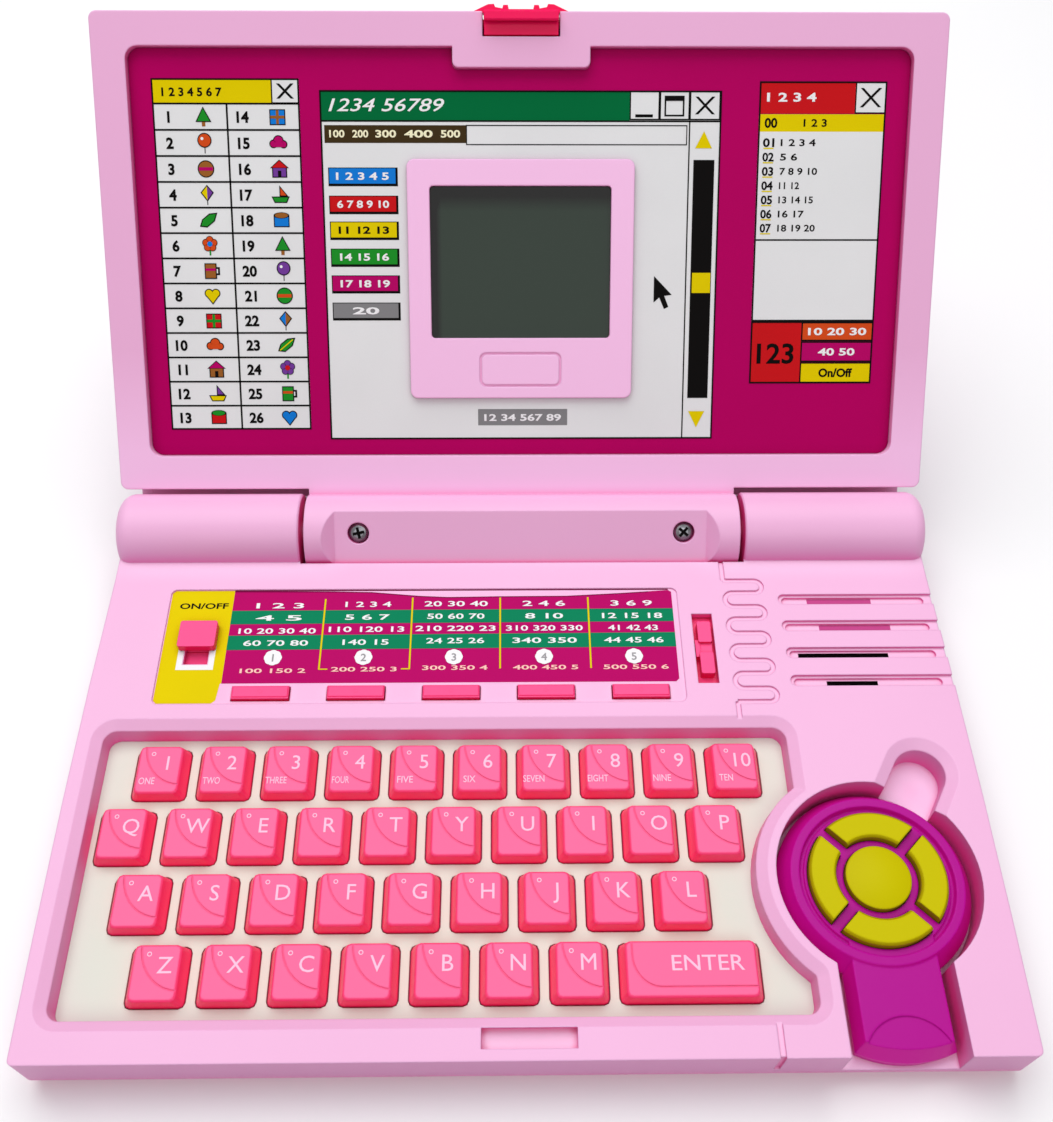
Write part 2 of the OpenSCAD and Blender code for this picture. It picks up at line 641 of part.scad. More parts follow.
module mouse_bottom_shell() {
    color(purple) stand() difference() {
        union() {
            translate([mouse_c[0], mouse_c[1], mouse_floor]) cylinder(r1 = mouse_r - 2, r2 = mouse_r - 0.6, h = 3);
            translate([0, 0, mouse_floor]) linear_extrude(3) polygon(handle_outline(handle_half - 0.6, handle_front + 0.4, 2.8));
        }
        translate([mouse_c[0], mouse_c[1], mouse_floor + 1.6]) cylinder(r = pad_r + 1.4, h = 3);
    }
}

module mouse_arrow_ring() {
    ring_top_z = mouse_face_z - 1.6 - seat_gap;
    color(lime) stand() {
        translate([mouse_c[0], mouse_c[1], ring_top_z - 1.4]) difference() {
            cylinder(r = pad_r + 1, h = 1.4);
            translate([0, 0, -1]) cylinder(r = centre_r + 1.9, h = 4);
        }
        arrow_pads(0, ring_top_z - eps, deck_z - 0.2, 0.7);
    }
}

module mouse_centre_button() {
    dome_z = deck_z + 0.3;
    dome = 1.2;
    dome_r = (centre_r * centre_r + dome * dome) / (2 * dome);
    color(lime) stand() translate([mouse_c[0], mouse_c[1], 0]) {
        translate([0, 0, mouse_face_z - 4]) cylinder(r = centre_r, h = dome_z - dome - mouse_face_z + 4);
        translate([0, 0, mouse_floor + 3.2]) cylinder(r = centre_r + 1.3, h = mouse_face_z - 1.6 - seat_gap - mouse_floor - 3.2);
        intersection() {
            translate([0, 0, dome_z - dome_r]) sphere(r = dome_r);
            translate([0, 0, dome_z - dome - eps]) cylinder(r = centre_r, h = dome * 2);
        }
    }
}

/* Lid, in its own frame: y from the hinge axis to the upper edge, z out of the inner face */

half_lid = lid_w / 2;
rim_low = 25.3;
rim_high = lid_top - rim_w + 0.2;
rim_side = half_lid - rim_w;
tab_x = 21.2;
tab_low = 145.2;
mid_r = barrel_r - 0.4;
flat_z = 9;
frame_x = [-36, 35.6];
frame_y = [44, 118.4];
lcd_y0 = 63.2;
frame_rise = 1.5;
screw_x = [-53, 52.3];
notch_x = 11.9;
notch_y = 154.1;
latch_pin = [158, -5];
latch_pin_r = 1.5;

module lid_recess(z) {
    difference() {
        round_slab([-rim_side, rim_side], [rim_low, rim_high], z, 4);
        difference() {
            round_slab([-tab_x, tab_x], [tab_low, rim_high + 4], [z[0] - 1, z[1] + 1], 1.8);
        }
    }
}

module lid_front_bezel() {
    floor_t = 1.9;
    color(pink) lid_place() difference() {
        union() {
            difference() {
                union() {
                    round_slab([-half_lid, half_lid], [lid_low, lid_top], [shell_split, rim_z], 2.4);
                    box([-mid_half, mid_half], [0, lid_low + 3], [shell_split, rim_z]);
                }
                lid_recess([card_z - card_t, rim_z + 1]);
                box([-half_lid + lid_wall, half_lid - lid_wall], [rim_low - 8, lid_top - lid_wall],
                    [shell_split - 1, card_z - card_t - floor_t]);
            }
            difference() {
                bar_x([-mid_half, mid_half], mid_r);
                box([-mid_half - 1, mid_half + 1], [-barrel_r * 2, barrel_r * 2], [-barrel_r * 2, shell_split]);
            }
            round_slab(frame_x, frame_y, [card_z - card_t - 1, card_z + frame_rise], 2.4);
            for (x = [-half_lid + lid_wall, half_lid - lid_wall - 6]) for (y = [30, 146])
                box([x, x + 6], [y - 3, y + 3], [shell_split, card_z - card_t - 1]);
        }
        // flat of the barrel, with sloping ends
        translate([0, barrel_r, 0]) rotate([90, 0, 0]) linear_extrude(barrel_r * 2)
            polygon([[-60.6, flat_z], [59.5, flat_z], [59.5 + 9, flat_z + 8], [-60.6 - 9, flat_z + 8]]);
        // the barrel is hollow between its pin bosses, but for the screw bosses
        difference() {
            bar_x([pin_l + 4 - mid_half, mid_half - pin_l - 4], mid_r - wall);
            box([-mid_half, mid_half], [-barrel_r, barrel_r], [flat_z - wall, barrel_r]);
            for (x = screw_x) translate([x, 1.6, -barrel_r]) cylinder(r = 5, h = barrel_r * 2);
        }
        for (x = screw_x) translate([x, 1.6, 0]) {
            translate([0, 0, flat_z - 3]) cylinder(r = 3.5, h = 10);
            translate([0, 0, -barrel_r]) cylinder(r = 1.4, h = barrel_r * 2);
        }
        for (s = [-1, 1]) bar_x(s > 0 ? [mid_half - pin_l - 1, mid_half + 1] : [-mid_half - 1, pin_l + 1 - mid_half], pin_r + pin_play);
        // window, and the seat of the small screen behind it
        round_slab([-lcd_w / 2 - 0.3, lcd_w / 2 - 0.3], [lcd_y0, lcd_y0 + lcd_h], [shell_split - 1, rim_z + 1], 1.2);
        box([-lcd_w / 2 - 3, lcd_w / 2 + 3], [lcd_y0 - 3, lcd_y0 + lcd_h + 3], [shell_split - 1, card_z - card_t]);
        // raised key shape below the window is outlined by a groove
        difference() {
            round_slab([-13.6, 12.8], [47.6, 58.6], [card_z + frame_rise - 0.4, rim_z + 1], 2.2);
            round_slab([-12.9, 12.1], [48.3, 57.9], [card_z, rim_z + 2], 1.6);
        }
        // notch of the latch and the bores of its pin
        box([-notch_x, notch_x], [notch_y, lid_top + 1], [shell_split - 1, rim_z + 1]);
        translate([0, latch_pin[0], latch_pin[1]]) bar_x([-notch_x - 2.4, notch_x + 2.4], latch_pin_r + pin_play);
    }
}

module screen_card() {
    color("#ac0062") lid_place() difference() {
        difference() {
            round_slab([-rim_side + 0.2, rim_side - 0.2], [rim_low + 0.2, rim_high - 0.2], [card_z - card_t, card_z], 3.8);
            round_slab([-tab_x - 0.2, tab_x + 0.2], [tab_low - 0.2, rim_high + 4], [card_z - 2, card_z + 1], 1.8);
        }
        round_slab([frame_x[0] - 0.2, frame_x[1] + 0.2], [frame_y[0] - 0.2, frame_y[1] + 0.2],
            [card_z - 2, card_z + 1], 2.4);
    }
}

module lcd_module() {
    color("#37463e") lid_place() {
        box([-lcd_w / 2 - 2.6, lcd_w / 2 + 2.6], [lcd_y0 - 2.6, lcd_y0 + lcd_h + 2.6], [card_z - card_t - 2, card_z - card_t]);
        box([-lcd_w / 2 - 1.6, lcd_w / 2 + 1.6], [lcd_y0 - 2.2, lcd_y0 + lcd_h + 2.2], [card_z - card_t - 4, card_z - card_t - 2]);
    }
}

module lid_back_cover() {
    color(pink) lid_place() difference() {
        union() {
            hull() {
                round_slab([-half_lid, half_lid], [lid_low, lid_top], [shell_split - 1, shell_split], 2.4);
                for (x = [-half_lid + lid_round, half_lid - lid_round])
                    for (y = [lid_low + lid_round, lid_top - lid_round])
                        translate([x, y, lid_back + lid_round]) sphere(r = lid_round, $fn = 32);
            }
            intersection() {
                union() {
                    bar_x([-mid_half, mid_half], mid_r);
                    box([-mid_half, mid_half], [0, lid_low + lid_round], [-12, shell_split]);
                }
                box([-half_lid, half_lid], [-barrel_r, lid_top], [lid_back, shell_split]);
            }
            // skirt behind the barrels
            box([6 - half_lid, half_lid - 6], [lid_low - 4.8, lid_low + 6.5], [lid_back + 0.4, lid_back + 2.6]);
        }
        box([-half_lid + lid_wall, half_lid - lid_wall], [rim_low - 8, lid_top - lid_wall - 1],
            [lid_back + lid_wall, shell_split + 1]);
        box([-notch_x, notch_x], [notch_y, lid_top + 1], [-13, shell_split + 1]);
        for (x = screw_x) translate([x, 1.6, -11]) cylinder(r = 1, h = 6);
    }
}

module latch() {
    w = 11.4;
    nose_z = 1.5;
    color("#ff2a72") lid_place() {
        // body in the notch, with a nose whose tooth drops behind the catch's lip
        translate([-w, 0, 0]) rotate([90, 0, 90]) linear_extrude(2 * w) polygon([
            [notch_y + 0.3, rim_z - 0.6], [notch_y + 0.5, rim_z - 0.2], [159.3, rim_z - 0.2], [159.3, 0.15],
            [158.15, 0.15], [158.15, nose_z - 0.4], [158.5, nose_z], [lid_top - 0.6, nose_z],
            [lid_top - 0.1, nose_z - 0.5], [lid_top - 0.1, -11.6], [157.6, -11.6], [notch_y + 0.3, -4.6]]);
        // finger wings behind the lid's upper edge
        translate([0, 0, -11.4]) linear_extrude(3.2) polygon(concat(
            [[w - 1, lid_top - 0.6], [w - 1, wing_y], [15.7, wing_y]], wing_top,
            [for (i = [len(wing_top) - 1:-1:0]) [-wing_top[i][0], wing_top[i][1]]],
            [[-15.7, wing_y], [1 - w, wing_y], [1 - w, lid_top - 0.6]]));
        translate([0, latch_pin[0], latch_pin[1]]) bar_x([-notch_x - 2, notch_x + 2], latch_pin_r);
    }
}

// Upper edge of the right-hand wing, from its tip to the middle
wing_y = lid_top + 0.8;
wing_top = [for (p = [[15.7, 0.1], [10.9, 2.3], [10.2, 2.6], [8.4, 2.7], [8, 1.8], [5.8, 1.4], [5.5, 2.4], [4.1, 2.4],
                      [3.8, 1.2], [0.5, 1.2]]) [p[0], wing_y + p[1]]];

base_top_case();
base_bottom_case();
battery_door();
keyboard_plate();
key_membrane();
circuit_board();
speaker();
lid_front_bezel();
lid_back_cover();
screen_card();
lcd_module();
latch();
power_switch();
volume_slider();
mouse_top_shell();
mouse_bottom_shell();
mouse_arrow_ring();
mouse_centre_button();
for (i = [1:func_count])
    function_button(i);
for (r = [0:3])
    for (i = [0:len(letters[r]) - 1])
        keycap(r, i);
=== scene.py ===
import json
import math

import bmesh
import bpy
from mathutils import Matrix, Vector


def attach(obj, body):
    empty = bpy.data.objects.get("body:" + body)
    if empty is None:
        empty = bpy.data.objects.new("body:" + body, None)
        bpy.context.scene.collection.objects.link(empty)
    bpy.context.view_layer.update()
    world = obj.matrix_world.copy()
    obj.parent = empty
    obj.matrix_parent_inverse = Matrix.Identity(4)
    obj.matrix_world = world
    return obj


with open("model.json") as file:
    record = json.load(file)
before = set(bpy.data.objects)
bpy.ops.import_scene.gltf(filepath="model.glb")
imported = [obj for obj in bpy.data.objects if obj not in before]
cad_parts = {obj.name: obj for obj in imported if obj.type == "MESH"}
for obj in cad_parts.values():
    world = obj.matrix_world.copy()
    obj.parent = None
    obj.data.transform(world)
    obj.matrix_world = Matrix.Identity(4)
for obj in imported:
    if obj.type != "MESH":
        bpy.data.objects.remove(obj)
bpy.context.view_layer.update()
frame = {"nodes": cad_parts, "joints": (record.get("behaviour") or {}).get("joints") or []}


# The stand for the shot: a pale table top, soft boxes above and behind the toy, and a camera
# held above the front edge, looking down at the keys and the open lid.

MM = 0.001
IMAGE_W = 1053
IMAGE_H = 1122
SENSOR = 36.0
FOCAL_PX = 1225.2
camera_at = Vector((-4.338, -220.394, 343.014)) * MM
camera_down = math.radians(54.486)
camera_yaw = math.radians(1.403)
camera_roll = math.radians(-0.927)


def in_scene(name, data):
    """A new object, linked into the scene."""
    thing = bpy.data.objects.new(name, data)
    bpy.context.scene.collection.objects.link(thing)
    return thing


def make_camera():
    ahead = Vector((
        math.sin(camera_yaw) * math.cos(camera_down),
        math.cos(camera_yaw) * math.cos(camera_down),
        -math.sin(camera_down)))
    level = Vector((math.cos(camera_yaw), -math.sin(camera_yaw), 0))
    below = ahead.cross(level)
    right = math.cos(camera_roll) * level + math.sin(camera_roll) * below
    down = math.cos(camera_roll) * below - math.sin(camera_roll) * level
    data = bpy.data.cameras.new("camera")
    data.sensor_width = SENSOR
    data.lens = FOCAL_PX * SENSOR / max(IMAGE_W, IMAGE_H)
    data.clip_start = 0.01
    camera = in_scene("camera", data)
    turned = Matrix((right, -down, -ahead)).transposed().to_4x4()
    camera.matrix_world = Matrix.Translation(camera_at) @ turned
    bpy.context.scene.camera = camera


def soft_box(name, place, target, size, watts):
    data = bpy.data.lights.new(name, "AREA")
    data.shape = "RECTANGLE"
    data.size = size[0]
    data.size_y = size[1]
    data.energy = watts
    lamp = in_scene(name, data)
    lamp.location = place
    lamp.rotation_mode = "QUATERNION"
    lamp.rotation_quaternion = (Vector(target) - Vector(place)).to_track_quat("-Z", "Y")


class Wire:
    """The output of a shader node, so that masks are written as sums and products."""

    def __init__(self, tree, socket):
        self.tree = tree
        self.socket = socket

    def maths(self, operation, first, second=0.0):
        node = self.tree.nodes.new("ShaderNodeMath")
        node.operation = operation
        for slot, value in zip(node.inputs, (first, second)):
            if isinstance(value, Wire):
                self.tree.links.new(value.socket, slot)
            else:
                slot.default_value = value
        return Wire(self.tree, node.outputs[0])

    def __add__(self, other):
        return self.maths("ADD", self, other)

    def __radd__(self, other):
        return self.maths("ADD", other, self)

    def __sub__(self, other):
        return self.maths("SUBTRACT", self, other)

    def __rsub__(self, other):
        return self.maths("SUBTRACT", other, self)

    def __mul__(self, other):
        return self.maths("MULTIPLY", self, other)

    def __rmul__(self, other):
        return self.maths("MULTIPLY", other, self)

    def __pow__(self, other):
        return self.maths("POWER", self, other)

    def __gt__(self, other):
        return self.maths("GREATER_THAN", self, other)

    def clamped(self):
        return self.maths("MINIMUM", self.maths("MAXIMUM", self, 0.0), 1.0)


class Finish:
    """A surface finish: a node-based material built up one node at a time."""

    def __init__(self, name):
        self.material = bpy.data.materials.new(name)
        self.material.use_nodes = True
        self.tree = self.material.node_tree
        self.shader = self.tree.nodes["Principled BSDF"]

    def add(self, kind, settings=None, sockets=None, out=0):
        """Adds a node: its settings, then the values or wires of its sockets; returns one output."""
        node = self.tree.nodes.new("ShaderNode" + kind)
        for name, value in (settings or {}).items():
            setattr(node, name, value)
        for name, value in (sockets or {}).items():
            self.put(node.inputs[name], value)
        return Wire(self.tree, node.outputs[out])

    def put(self, slot, value):
        if isinstance(value, Wire):
            self.tree.links.new(value.socket, slot)
        else:
            slot.default_value = value

    def set(self, **values):
        """Sets the shader's own sockets; an underscore in a name stands for a space."""
        for name, value in values.items():
            self.put(self.shader.inputs[name.replace("_", " ")], value)

    def place(self):
        return self.add("TexCoord", out="Object")

    def noise(self, scale, detail=2.0, roughness=0.5):
        return self.add("TexNoise", None,
                        {"Vector": self.place(), "Scale": scale, "Detail": detail, "Roughness": roughness})

    def mix(self, amount, first, second):
        return self.add("Mix", {"data_type": "RGBA"}, {0: amount, 6: first, 7: second}, out=2)


def linear(red, green, blue):
    """A colour as read off a screen, from 0 to 255, as the light values that a shader takes."""
    def one(value):
        share = value / 255
        return share / 12.92 if share < 0.04045 else ((share + 0.055) / 1.055) ** 2.4
    return (one(red), one(green), one(blue), 1)


def shaded(colour, factor):
    return (*(min(1, factor * value) for value in colour[:3]), 1)


def table_top():
    finish = Finish("table_top_paint")
    cloud = finish.noise(3.0, 4.0)
    fleck = finish.noise(900.0)
    finish.set(Base_Color=finish.mix(cloud, linear(238, 238, 240), linear(246, 246, 247)),
               Roughness=0.55 + 0.1 * cloud,
               Normal=finish.add("Bump", None, {"Strength": 0.04, "Distance": 0.0002, "Height": fleck}))
    mesh = bmesh.new()
    half_width = 3.0
    bmesh.ops.create_grid(mesh, x_segments=24, y_segments=24, size=half_width)
    data = bpy.data.meshes.new("table_top")
    mesh.to_mesh(data)
    mesh.free()
    data.materials.append(finish.material)
    table = in_scene("table_top", data)


def daylight(strength):
    world = bpy.data.worlds.new("studio")
    world.use_nodes = True
    sky = world.node_tree.nodes["Background"]
    sky.inputs["Color"].default_value = (1, 1, 1, 1)
    sky.inputs["Strength"].default_value = strength
    bpy.context.scene.world = world


make_camera()
table_top()
daylight(strength=0.34)
soft_box("soft_box_back", place=(-0.15, 0.45, 1.25), target=(0, 0, 0.03), size=(1.5, 1.1), watts=16.0)
soft_box("soft_box_front", place=(0.10, -0.90, 1.10), target=(0, 0, 0.05), size=(1.2, 0.8), watts=5.5)
bpy.context.scene.view_settings.view_transform = "Standard"


# The case: two mouldings for the base, two for the lid and a battery door, all in a satin
# pale pink ABS. Edges carry a painted highlight, mottled like handling wear, and the faces carry
# a fine grain. Recesses and upright faces carry painted shade, and wide recess floors painted light.

case_colour = linear(234, 178, 216)
# The colour of painted shade in the case's recesses.
case_recess_shade = linear(236, 72, 158)
paler_pink = linear(255, 206, 246)
NEAR_WALL, FAR_WALL = 0.0024, 0.009
hinge = Vector(next(joint["pos_m"] for joint in frame["joints"] if joint["name"] == "lid_hinge"))
LID_LEAN = math.radians(47.6)
deck_place = Matrix.Translation((0, hinge.y, 0)) @ Matrix.Scale(MM, 4)
lid_place = Matrix.Translation(hinge) @ Matrix.Rotation(LID_LEAN, 4, "X") @ Matrix.Scale(MM, 4)


def moulded(name, colour, recess_shade=None, edge=0.0005, rough=0.34, grain=0.10, edge_highlight_level=1.10, shine=0.2,
            upright_shading=None, upright_shading_power=3.0, recess_floor_light=None, pale=None):
    """Injection-moulded plastic: cloudy colour, satin grain, and a painted highlight on rounded edges,
    stronger where they face up and mottled like rubbing.

    recess_shade is the colour of painted shade in recesses, between close walls and on edges that
    turn down, upright_shading the colour painted on faces that stand upright for how light falls on
    them, and recess_floor_light the painted light on a wide recess's floor. pale gives the parts of
    a moulding that are made paler.
    """
    finish = Finish(name)
    cloud = finish.noise(14.0, 3.0)
    fleck = finish.noise(1600.0, 2.0)
    rub_and_sheen = finish.noise(120.0, 4.0, 0.6)
    rounded = finish.add("Bevel", {"samples": 5}, {"Radius": edge})
    facing = finish.add("NewGeometry", out="Normal")
    agree = finish.add("VectorMath", {"operation": "DOT_PRODUCT"}, {0: rounded, 1: facing}, out="Value")
    height = finish.add("SeparateXYZ", None, {"Vector": rounded}, out="Z")
    fall = finish.add("SeparateXYZ", None, {"Vector": facing}, out="Z") - height
    upward = height.clamped()
    # Painted highlight on rounded edges, stronger where they face up, mottled by the rub noise.
    edge_highlight_mask = ((1 - agree) * (1.2 + 2.0 * rub_and_sheen) * (0.3 + upward)).clamped()
    body = finish.mix(cloud, shaded(colour, 0.97), shaded(colour, 1.03))
    body = finish.mix(fleck * 0.10, body, shaded(colour, 0.90))
    # Painted shading on faces that stand upright, for how light falls on them.
    if upright_shading:
        body = finish.mix(1 - upward ** upright_shading_power, body, upright_shading)
    if recess_shade:
        near_sky = finish.add("AmbientOcclusion", {"samples": 6}, {"Distance": NEAR_WALL}, out="AO")
        wide_sky = finish.add("AmbientOcclusion", {"samples": 6}, {"Distance": FAR_WALL}, out="AO")
        # Painted light on the floors of wide recesses.
        if recess_floor_light:
            body = finish.mix(((1 - wide_sky) * 1.6 * upward ** 4.0).clamped(), body, recess_floor_light)
        # Painted shade: recess walls, close walls and edges that turn down take the recess shade colour.
        body = finish.mix(((1 - wide_sky) * (1.3 - 1.4 * upward)).clamped(), body, recess_shade)
        body = finish.mix(((1 - near_sky) * 1.5 - 0.35).clamped(), body, recess_shade)
        body = finish.mix((fall * (1 - upward) * 1.5).clamped(), body, recess_shade)
    if pale:
        body = finish.mix(pale(finish), body, finish.mix(0.5, body, paler_pink))
    finish.set(Base_Color=finish.mix(edge_highlight_mask, body, shaded(colour, edge_highlight_level)),
               Roughness=(rough - 0.05 + 0.10 * rub_and_sheen + 0.04 * fleck).clamped(),
               Normal=finish.add("Bump", None, {"Strength": grain, "Distance": 0.00012, "Height": fleck,
                                                "Normal": rounded}))
    finish.set(Specular_IOR_Level=shine)
    return finish


def dress(finish, *names):
    """Gives CAD pieces a finish."""
    for name in names:
        data = frame["nodes"][name].data
        data.materials.clear()
        data.materials.append(finish.material)


def on_the_lid(finish):
    """How far a point lies up the lid from the hinge, and how far to the right of its middle."""
    here = finish.add("VectorMath", {"operation": "SUBTRACT"}, {0: finish.place(), 1: tuple(hinge)})
    along = finish.add("VectorMath", {"operation": "DOT_PRODUCT"},
                       {0: here, 1: (0, math.cos(LID_LEAN), math.sin(LID_LEAN))}, out="Value")
    return along, finish.add("SeparateXYZ", None, {"Vector": here}, out="X")


def paler_zone(finish):
    """The lower part of the lid's front and the raised frame round the screen."""
    barrel_edge, zone_top, frame_top, frame_reach = 0.012, 0.060, 0.125, 0.038
    along, across = on_the_lid(finish)
    raised = ((frame_reach ** 2 - across * across) * 1e6).clamped() * ((frame_top - along) * 1000).clamped()
    lower = ((zone_top - along) * 30).clamped()
    return (raised + lower).clamped() * ((along - barrel_edge) * 300).clamped()


# Painted light for the floors of the case's wide recesses.
case_floor_light = linear(254, 218, 248)
case_finish = moulded("case_pink_abs", case_colour, case_recess_shade, edge=0.0007, edge_highlight_level=1.35,
                      upright_shading=linear(209, 138, 185), upright_shading_power=0.7, recess_floor_light=case_floor_light)
bezel_finish = moulded("bezel_pink_abs", case_colour, case_recess_shade, edge=0.0007, edge_highlight_level=1.35,
                       upright_shading=linear(222, 154, 198), upright_shading_power=0.7, recess_floor_light=case_floor_light, pale=paler_zone)
dress(case_finish, "base_top_case", "base_bottom_case", "battery_door", "lid_back_cover")
dress(bezel_finish, "lid_front_bezel")


# The keyboard plate: one cream moulding under the keys, satin, with faint flow marks.
# Below it, unseen until the case is opened, are the rubber sheet, the board and the speaker.

plate_finish = moulded("plate_cream_abs", linear(214, 217, 206), edge=0.0004, rough=0.42, shine=0.15)
dress(plate_finish, "keyboard_plate")


def rubber_sheet():
    finish = Finish("membrane_silicone")
    dust = finish.noise(260.0, 4.0)
    finish.set(Base_Color=finish.mix(dust, linear(118, 126, 134), linear(142, 150, 158)),
               Roughness=0.55 + 0.2 * dust,
               Normal=finish.add("Bump", None, {"Strength": 0.2, "Distance": 0.0002, "Height": dust}))
    return finish


def board_finish():
    """Green solder mask over square-cornered copper tracks."""
    finish = Finish("board_solder_mask")
    tracks = finish.add("TexVoronoi", {"distance": "CHEBYCHEV", "feature": "F1"},
                        {"Vector": finish.place(), "Scale": 160.0})
    inner, outer = 0.32, 0.40
    line = (tracks > inner) * (1 - (tracks > outer))
    haze = finish.noise(60.0, 3.0)
    mask = finish.mix(haze, linear(20, 92, 48), linear(30, 112, 60))
    finish.set(Base_Color=finish.mix(line, mask, linear(60, 150, 80)),
               Roughness=0.28 + 0.12 * haze,
               Normal=finish.add("Bump", None, {"Strength": 0.3, "Distance": 0.0001, "Height": line}))
    return finish


def cone_finish():
    finish = Finish("speaker_paper")
    fibre = finish.noise(700.0, 5.0, 0.7)
    finish.set(Base_Color=finish.mix(fibre, linear(22, 20, 24), linear(46, 42, 48)),
               Roughness=0.7 + 0.2 * fibre,
               Normal=finish.add("Bump", None, {"Strength": 0.4, "Distance": 0.0003, "Height": fibre}))
    return finish


dress(rubber_sheet(), "key_membrane")
dress(board_finish(), "circuit_board")
dress(cone_finish(), "speaker")


# The keys: hollow caps in a clear bright pink, redder where their sides slope away, partly the
# clear plastic's fuller colour and partly painted shade, with a painted highlight along their
# edges. Each carries a raised pale letter or number in its corner, a small ring mark, and the
# number keys the number's name. The letters are moulded in a second shot of pale pink.

key_top = 17.0
key_pitch = 18.65
row_pitch = 19.55
back_row = -84.42
row_start = [-106.4, -113.65, -106.15, -97.95]
enter_middle = 43.7
key_rows = ["1 2 3 4 5 6 7 8 9 10", "q w e r t y u i o p", "a s d f g h j k l", "z x c v b n m enter"]
number_names = ["ONE", "TWO", "THREE", "FOUR", "FIVE", "SIX", "SEVEN", "EIGHT", "NINE", "TEN"]
name_widths = [4.6, 5.0, 6.2, 5.0, 4.6, 3.6, 6.2, 6.0, 5.2, 4.0]


def lettering(text, weight, lean):
    """Letters one unit high that stand on y = 0, as a mesh with softened edges."""
    cap_height = 0.73
    curve = bpy.data.curves.new("lettering", "FONT")
    curve.body = text
    curve.resolution_u = 3
    curve.shear = lean
    curve.extrude = 0.001
    curve.bevel_depth = weight
    curve.bevel_resolution = 0
    holder = in_scene("lettering", curve)
    mesh = bpy.data.meshes.new_from_object(holder.evaluated_get(bpy.context.evaluated_depsgraph_get()))
    bpy.data.objects.remove(holder)
    mesh.transform(Matrix.Scale(1 / cap_height, 4))
    return mesh


def rim(centre, radius, sides):
    """Points round a circle."""
    angles = [2 * math.pi * k / sides for k in range(sides)]
    return [(centre[0] + radius * math.cos(a), centre[1] + radius * math.sin(a)) for a in angles]


class Sheet:
    """Flat shapes and letters in millimetres on one face, each level a hair above the last."""

    def __init__(self, name, place, face, step=0.035):
        self.name = name
        self.place = place
        self.face = face
        self.step = step
        self.mesh = bmesh.new()
        self.inks = []

    def ink_number(self, ink):
        if ink not in self.inks:
            self.inks.append(ink)
        return self.inks.index(ink)

    def shape(self, ink, points, level=1):
        z = self.face + self.step * level
        corners = [self.mesh.verts.new((x, y, z)) for x, y in points]
        made = self.mesh.faces.new(corners)
        made.normal_update()
        if made.normal.z < 0:
            made.normal_flip()
        made.material_index = self.ink_number(ink)

    def box(self, ink, x, y, level=1):
        self.shape(ink, [(x[0], y[0]), (x[1], y[0]), (x[1], y[1]), (x[0], y[1])], level)

    def around(self, ink, x, y, hole_x, hole_y, level=1):
        """A box with a smaller box left out of it."""
        self.box(ink, (x[0], hole_x[0]), y, level)
        self.box(ink, (hole_x[1], x[1]), y, level)
        self.box(ink, hole_x, (y[0], hole_y[0]), level)
        self.box(ink, hole_x, (hole_y[1], y[1]), level)

    def frame(self, ink, x, y, width, level=1):
        """A line drawn just inside a box."""
        self.box(ink, x, (y[0], y[0] + width), level)
        self.box(ink, x, (y[1] - width, y[1]), level)
        self.box(ink, (x[0], x[0] + width), (y[0] + width, y[1] - width), level)
        self.box(ink, (x[1] - width, x[1]), (y[0] + width, y[1] - width), level)

    def round(self, ink, centre, radius, level=1, sides=28):
        self.shape(ink, rim(centre, radius, sides), level)

    def ring(self, ink, centre, radius, width, level=1, sides=24):
        z = self.face + self.step * level
        loops = [[self.mesh.verts.new((x, y, z)) for x, y in rim(centre, r, sides)]
                 for r in (radius, radius - width)]
        for k in range(sides):
            after = (k + 1) % sides
            made = self.mesh.faces.new((loops[0][k], loops[0][after], loops[1][after], loops[1][k]))
            made.material_index = self.ink_number(ink)

    def word(self, ink, text, middle, height, level=1, width=None, weight=0.022, relief=0.012, lean=0.0):
        """A word with capitals of this height, its middle at a point, drawn to a width if one is given."""
        letters = lettering(text, weight, lean)
        reach = [corner.co.x for corner in letters.vertices]
        across = width / (max(reach) - min(reach)) if width else height
        start = middle[0] - across * (max(reach) + min(reach)) / 2
        rise = relief / max(corner.co.z for corner in letters.vertices)
        letters.transform(Matrix.Translation((start, middle[1] - height / 2, self.face + self.step * level))
                          @ Matrix.Diagonal((across, height, rise, 1)))
        before = len(self.mesh.faces)
        self.mesh.from_mesh(letters)
        self.mesh.faces.ensure_lookup_table()
        number = self.ink_number(ink)
        for made in self.mesh.faces[before:]:
            made.material_index = number
        bpy.data.meshes.remove(letters)

    def finish(self, body, slot=None):
        """Makes the piece and rides it on its body."""
        data = bpy.data.meshes.new(self.name)
        self.mesh.transform(self.place)
        self.mesh.to_mesh(data)
        self.mesh.free()
        for ink in self.inks:
            data.materials.append(ink.material)
        piece = in_scene(self.name, data)
        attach(piece, body)


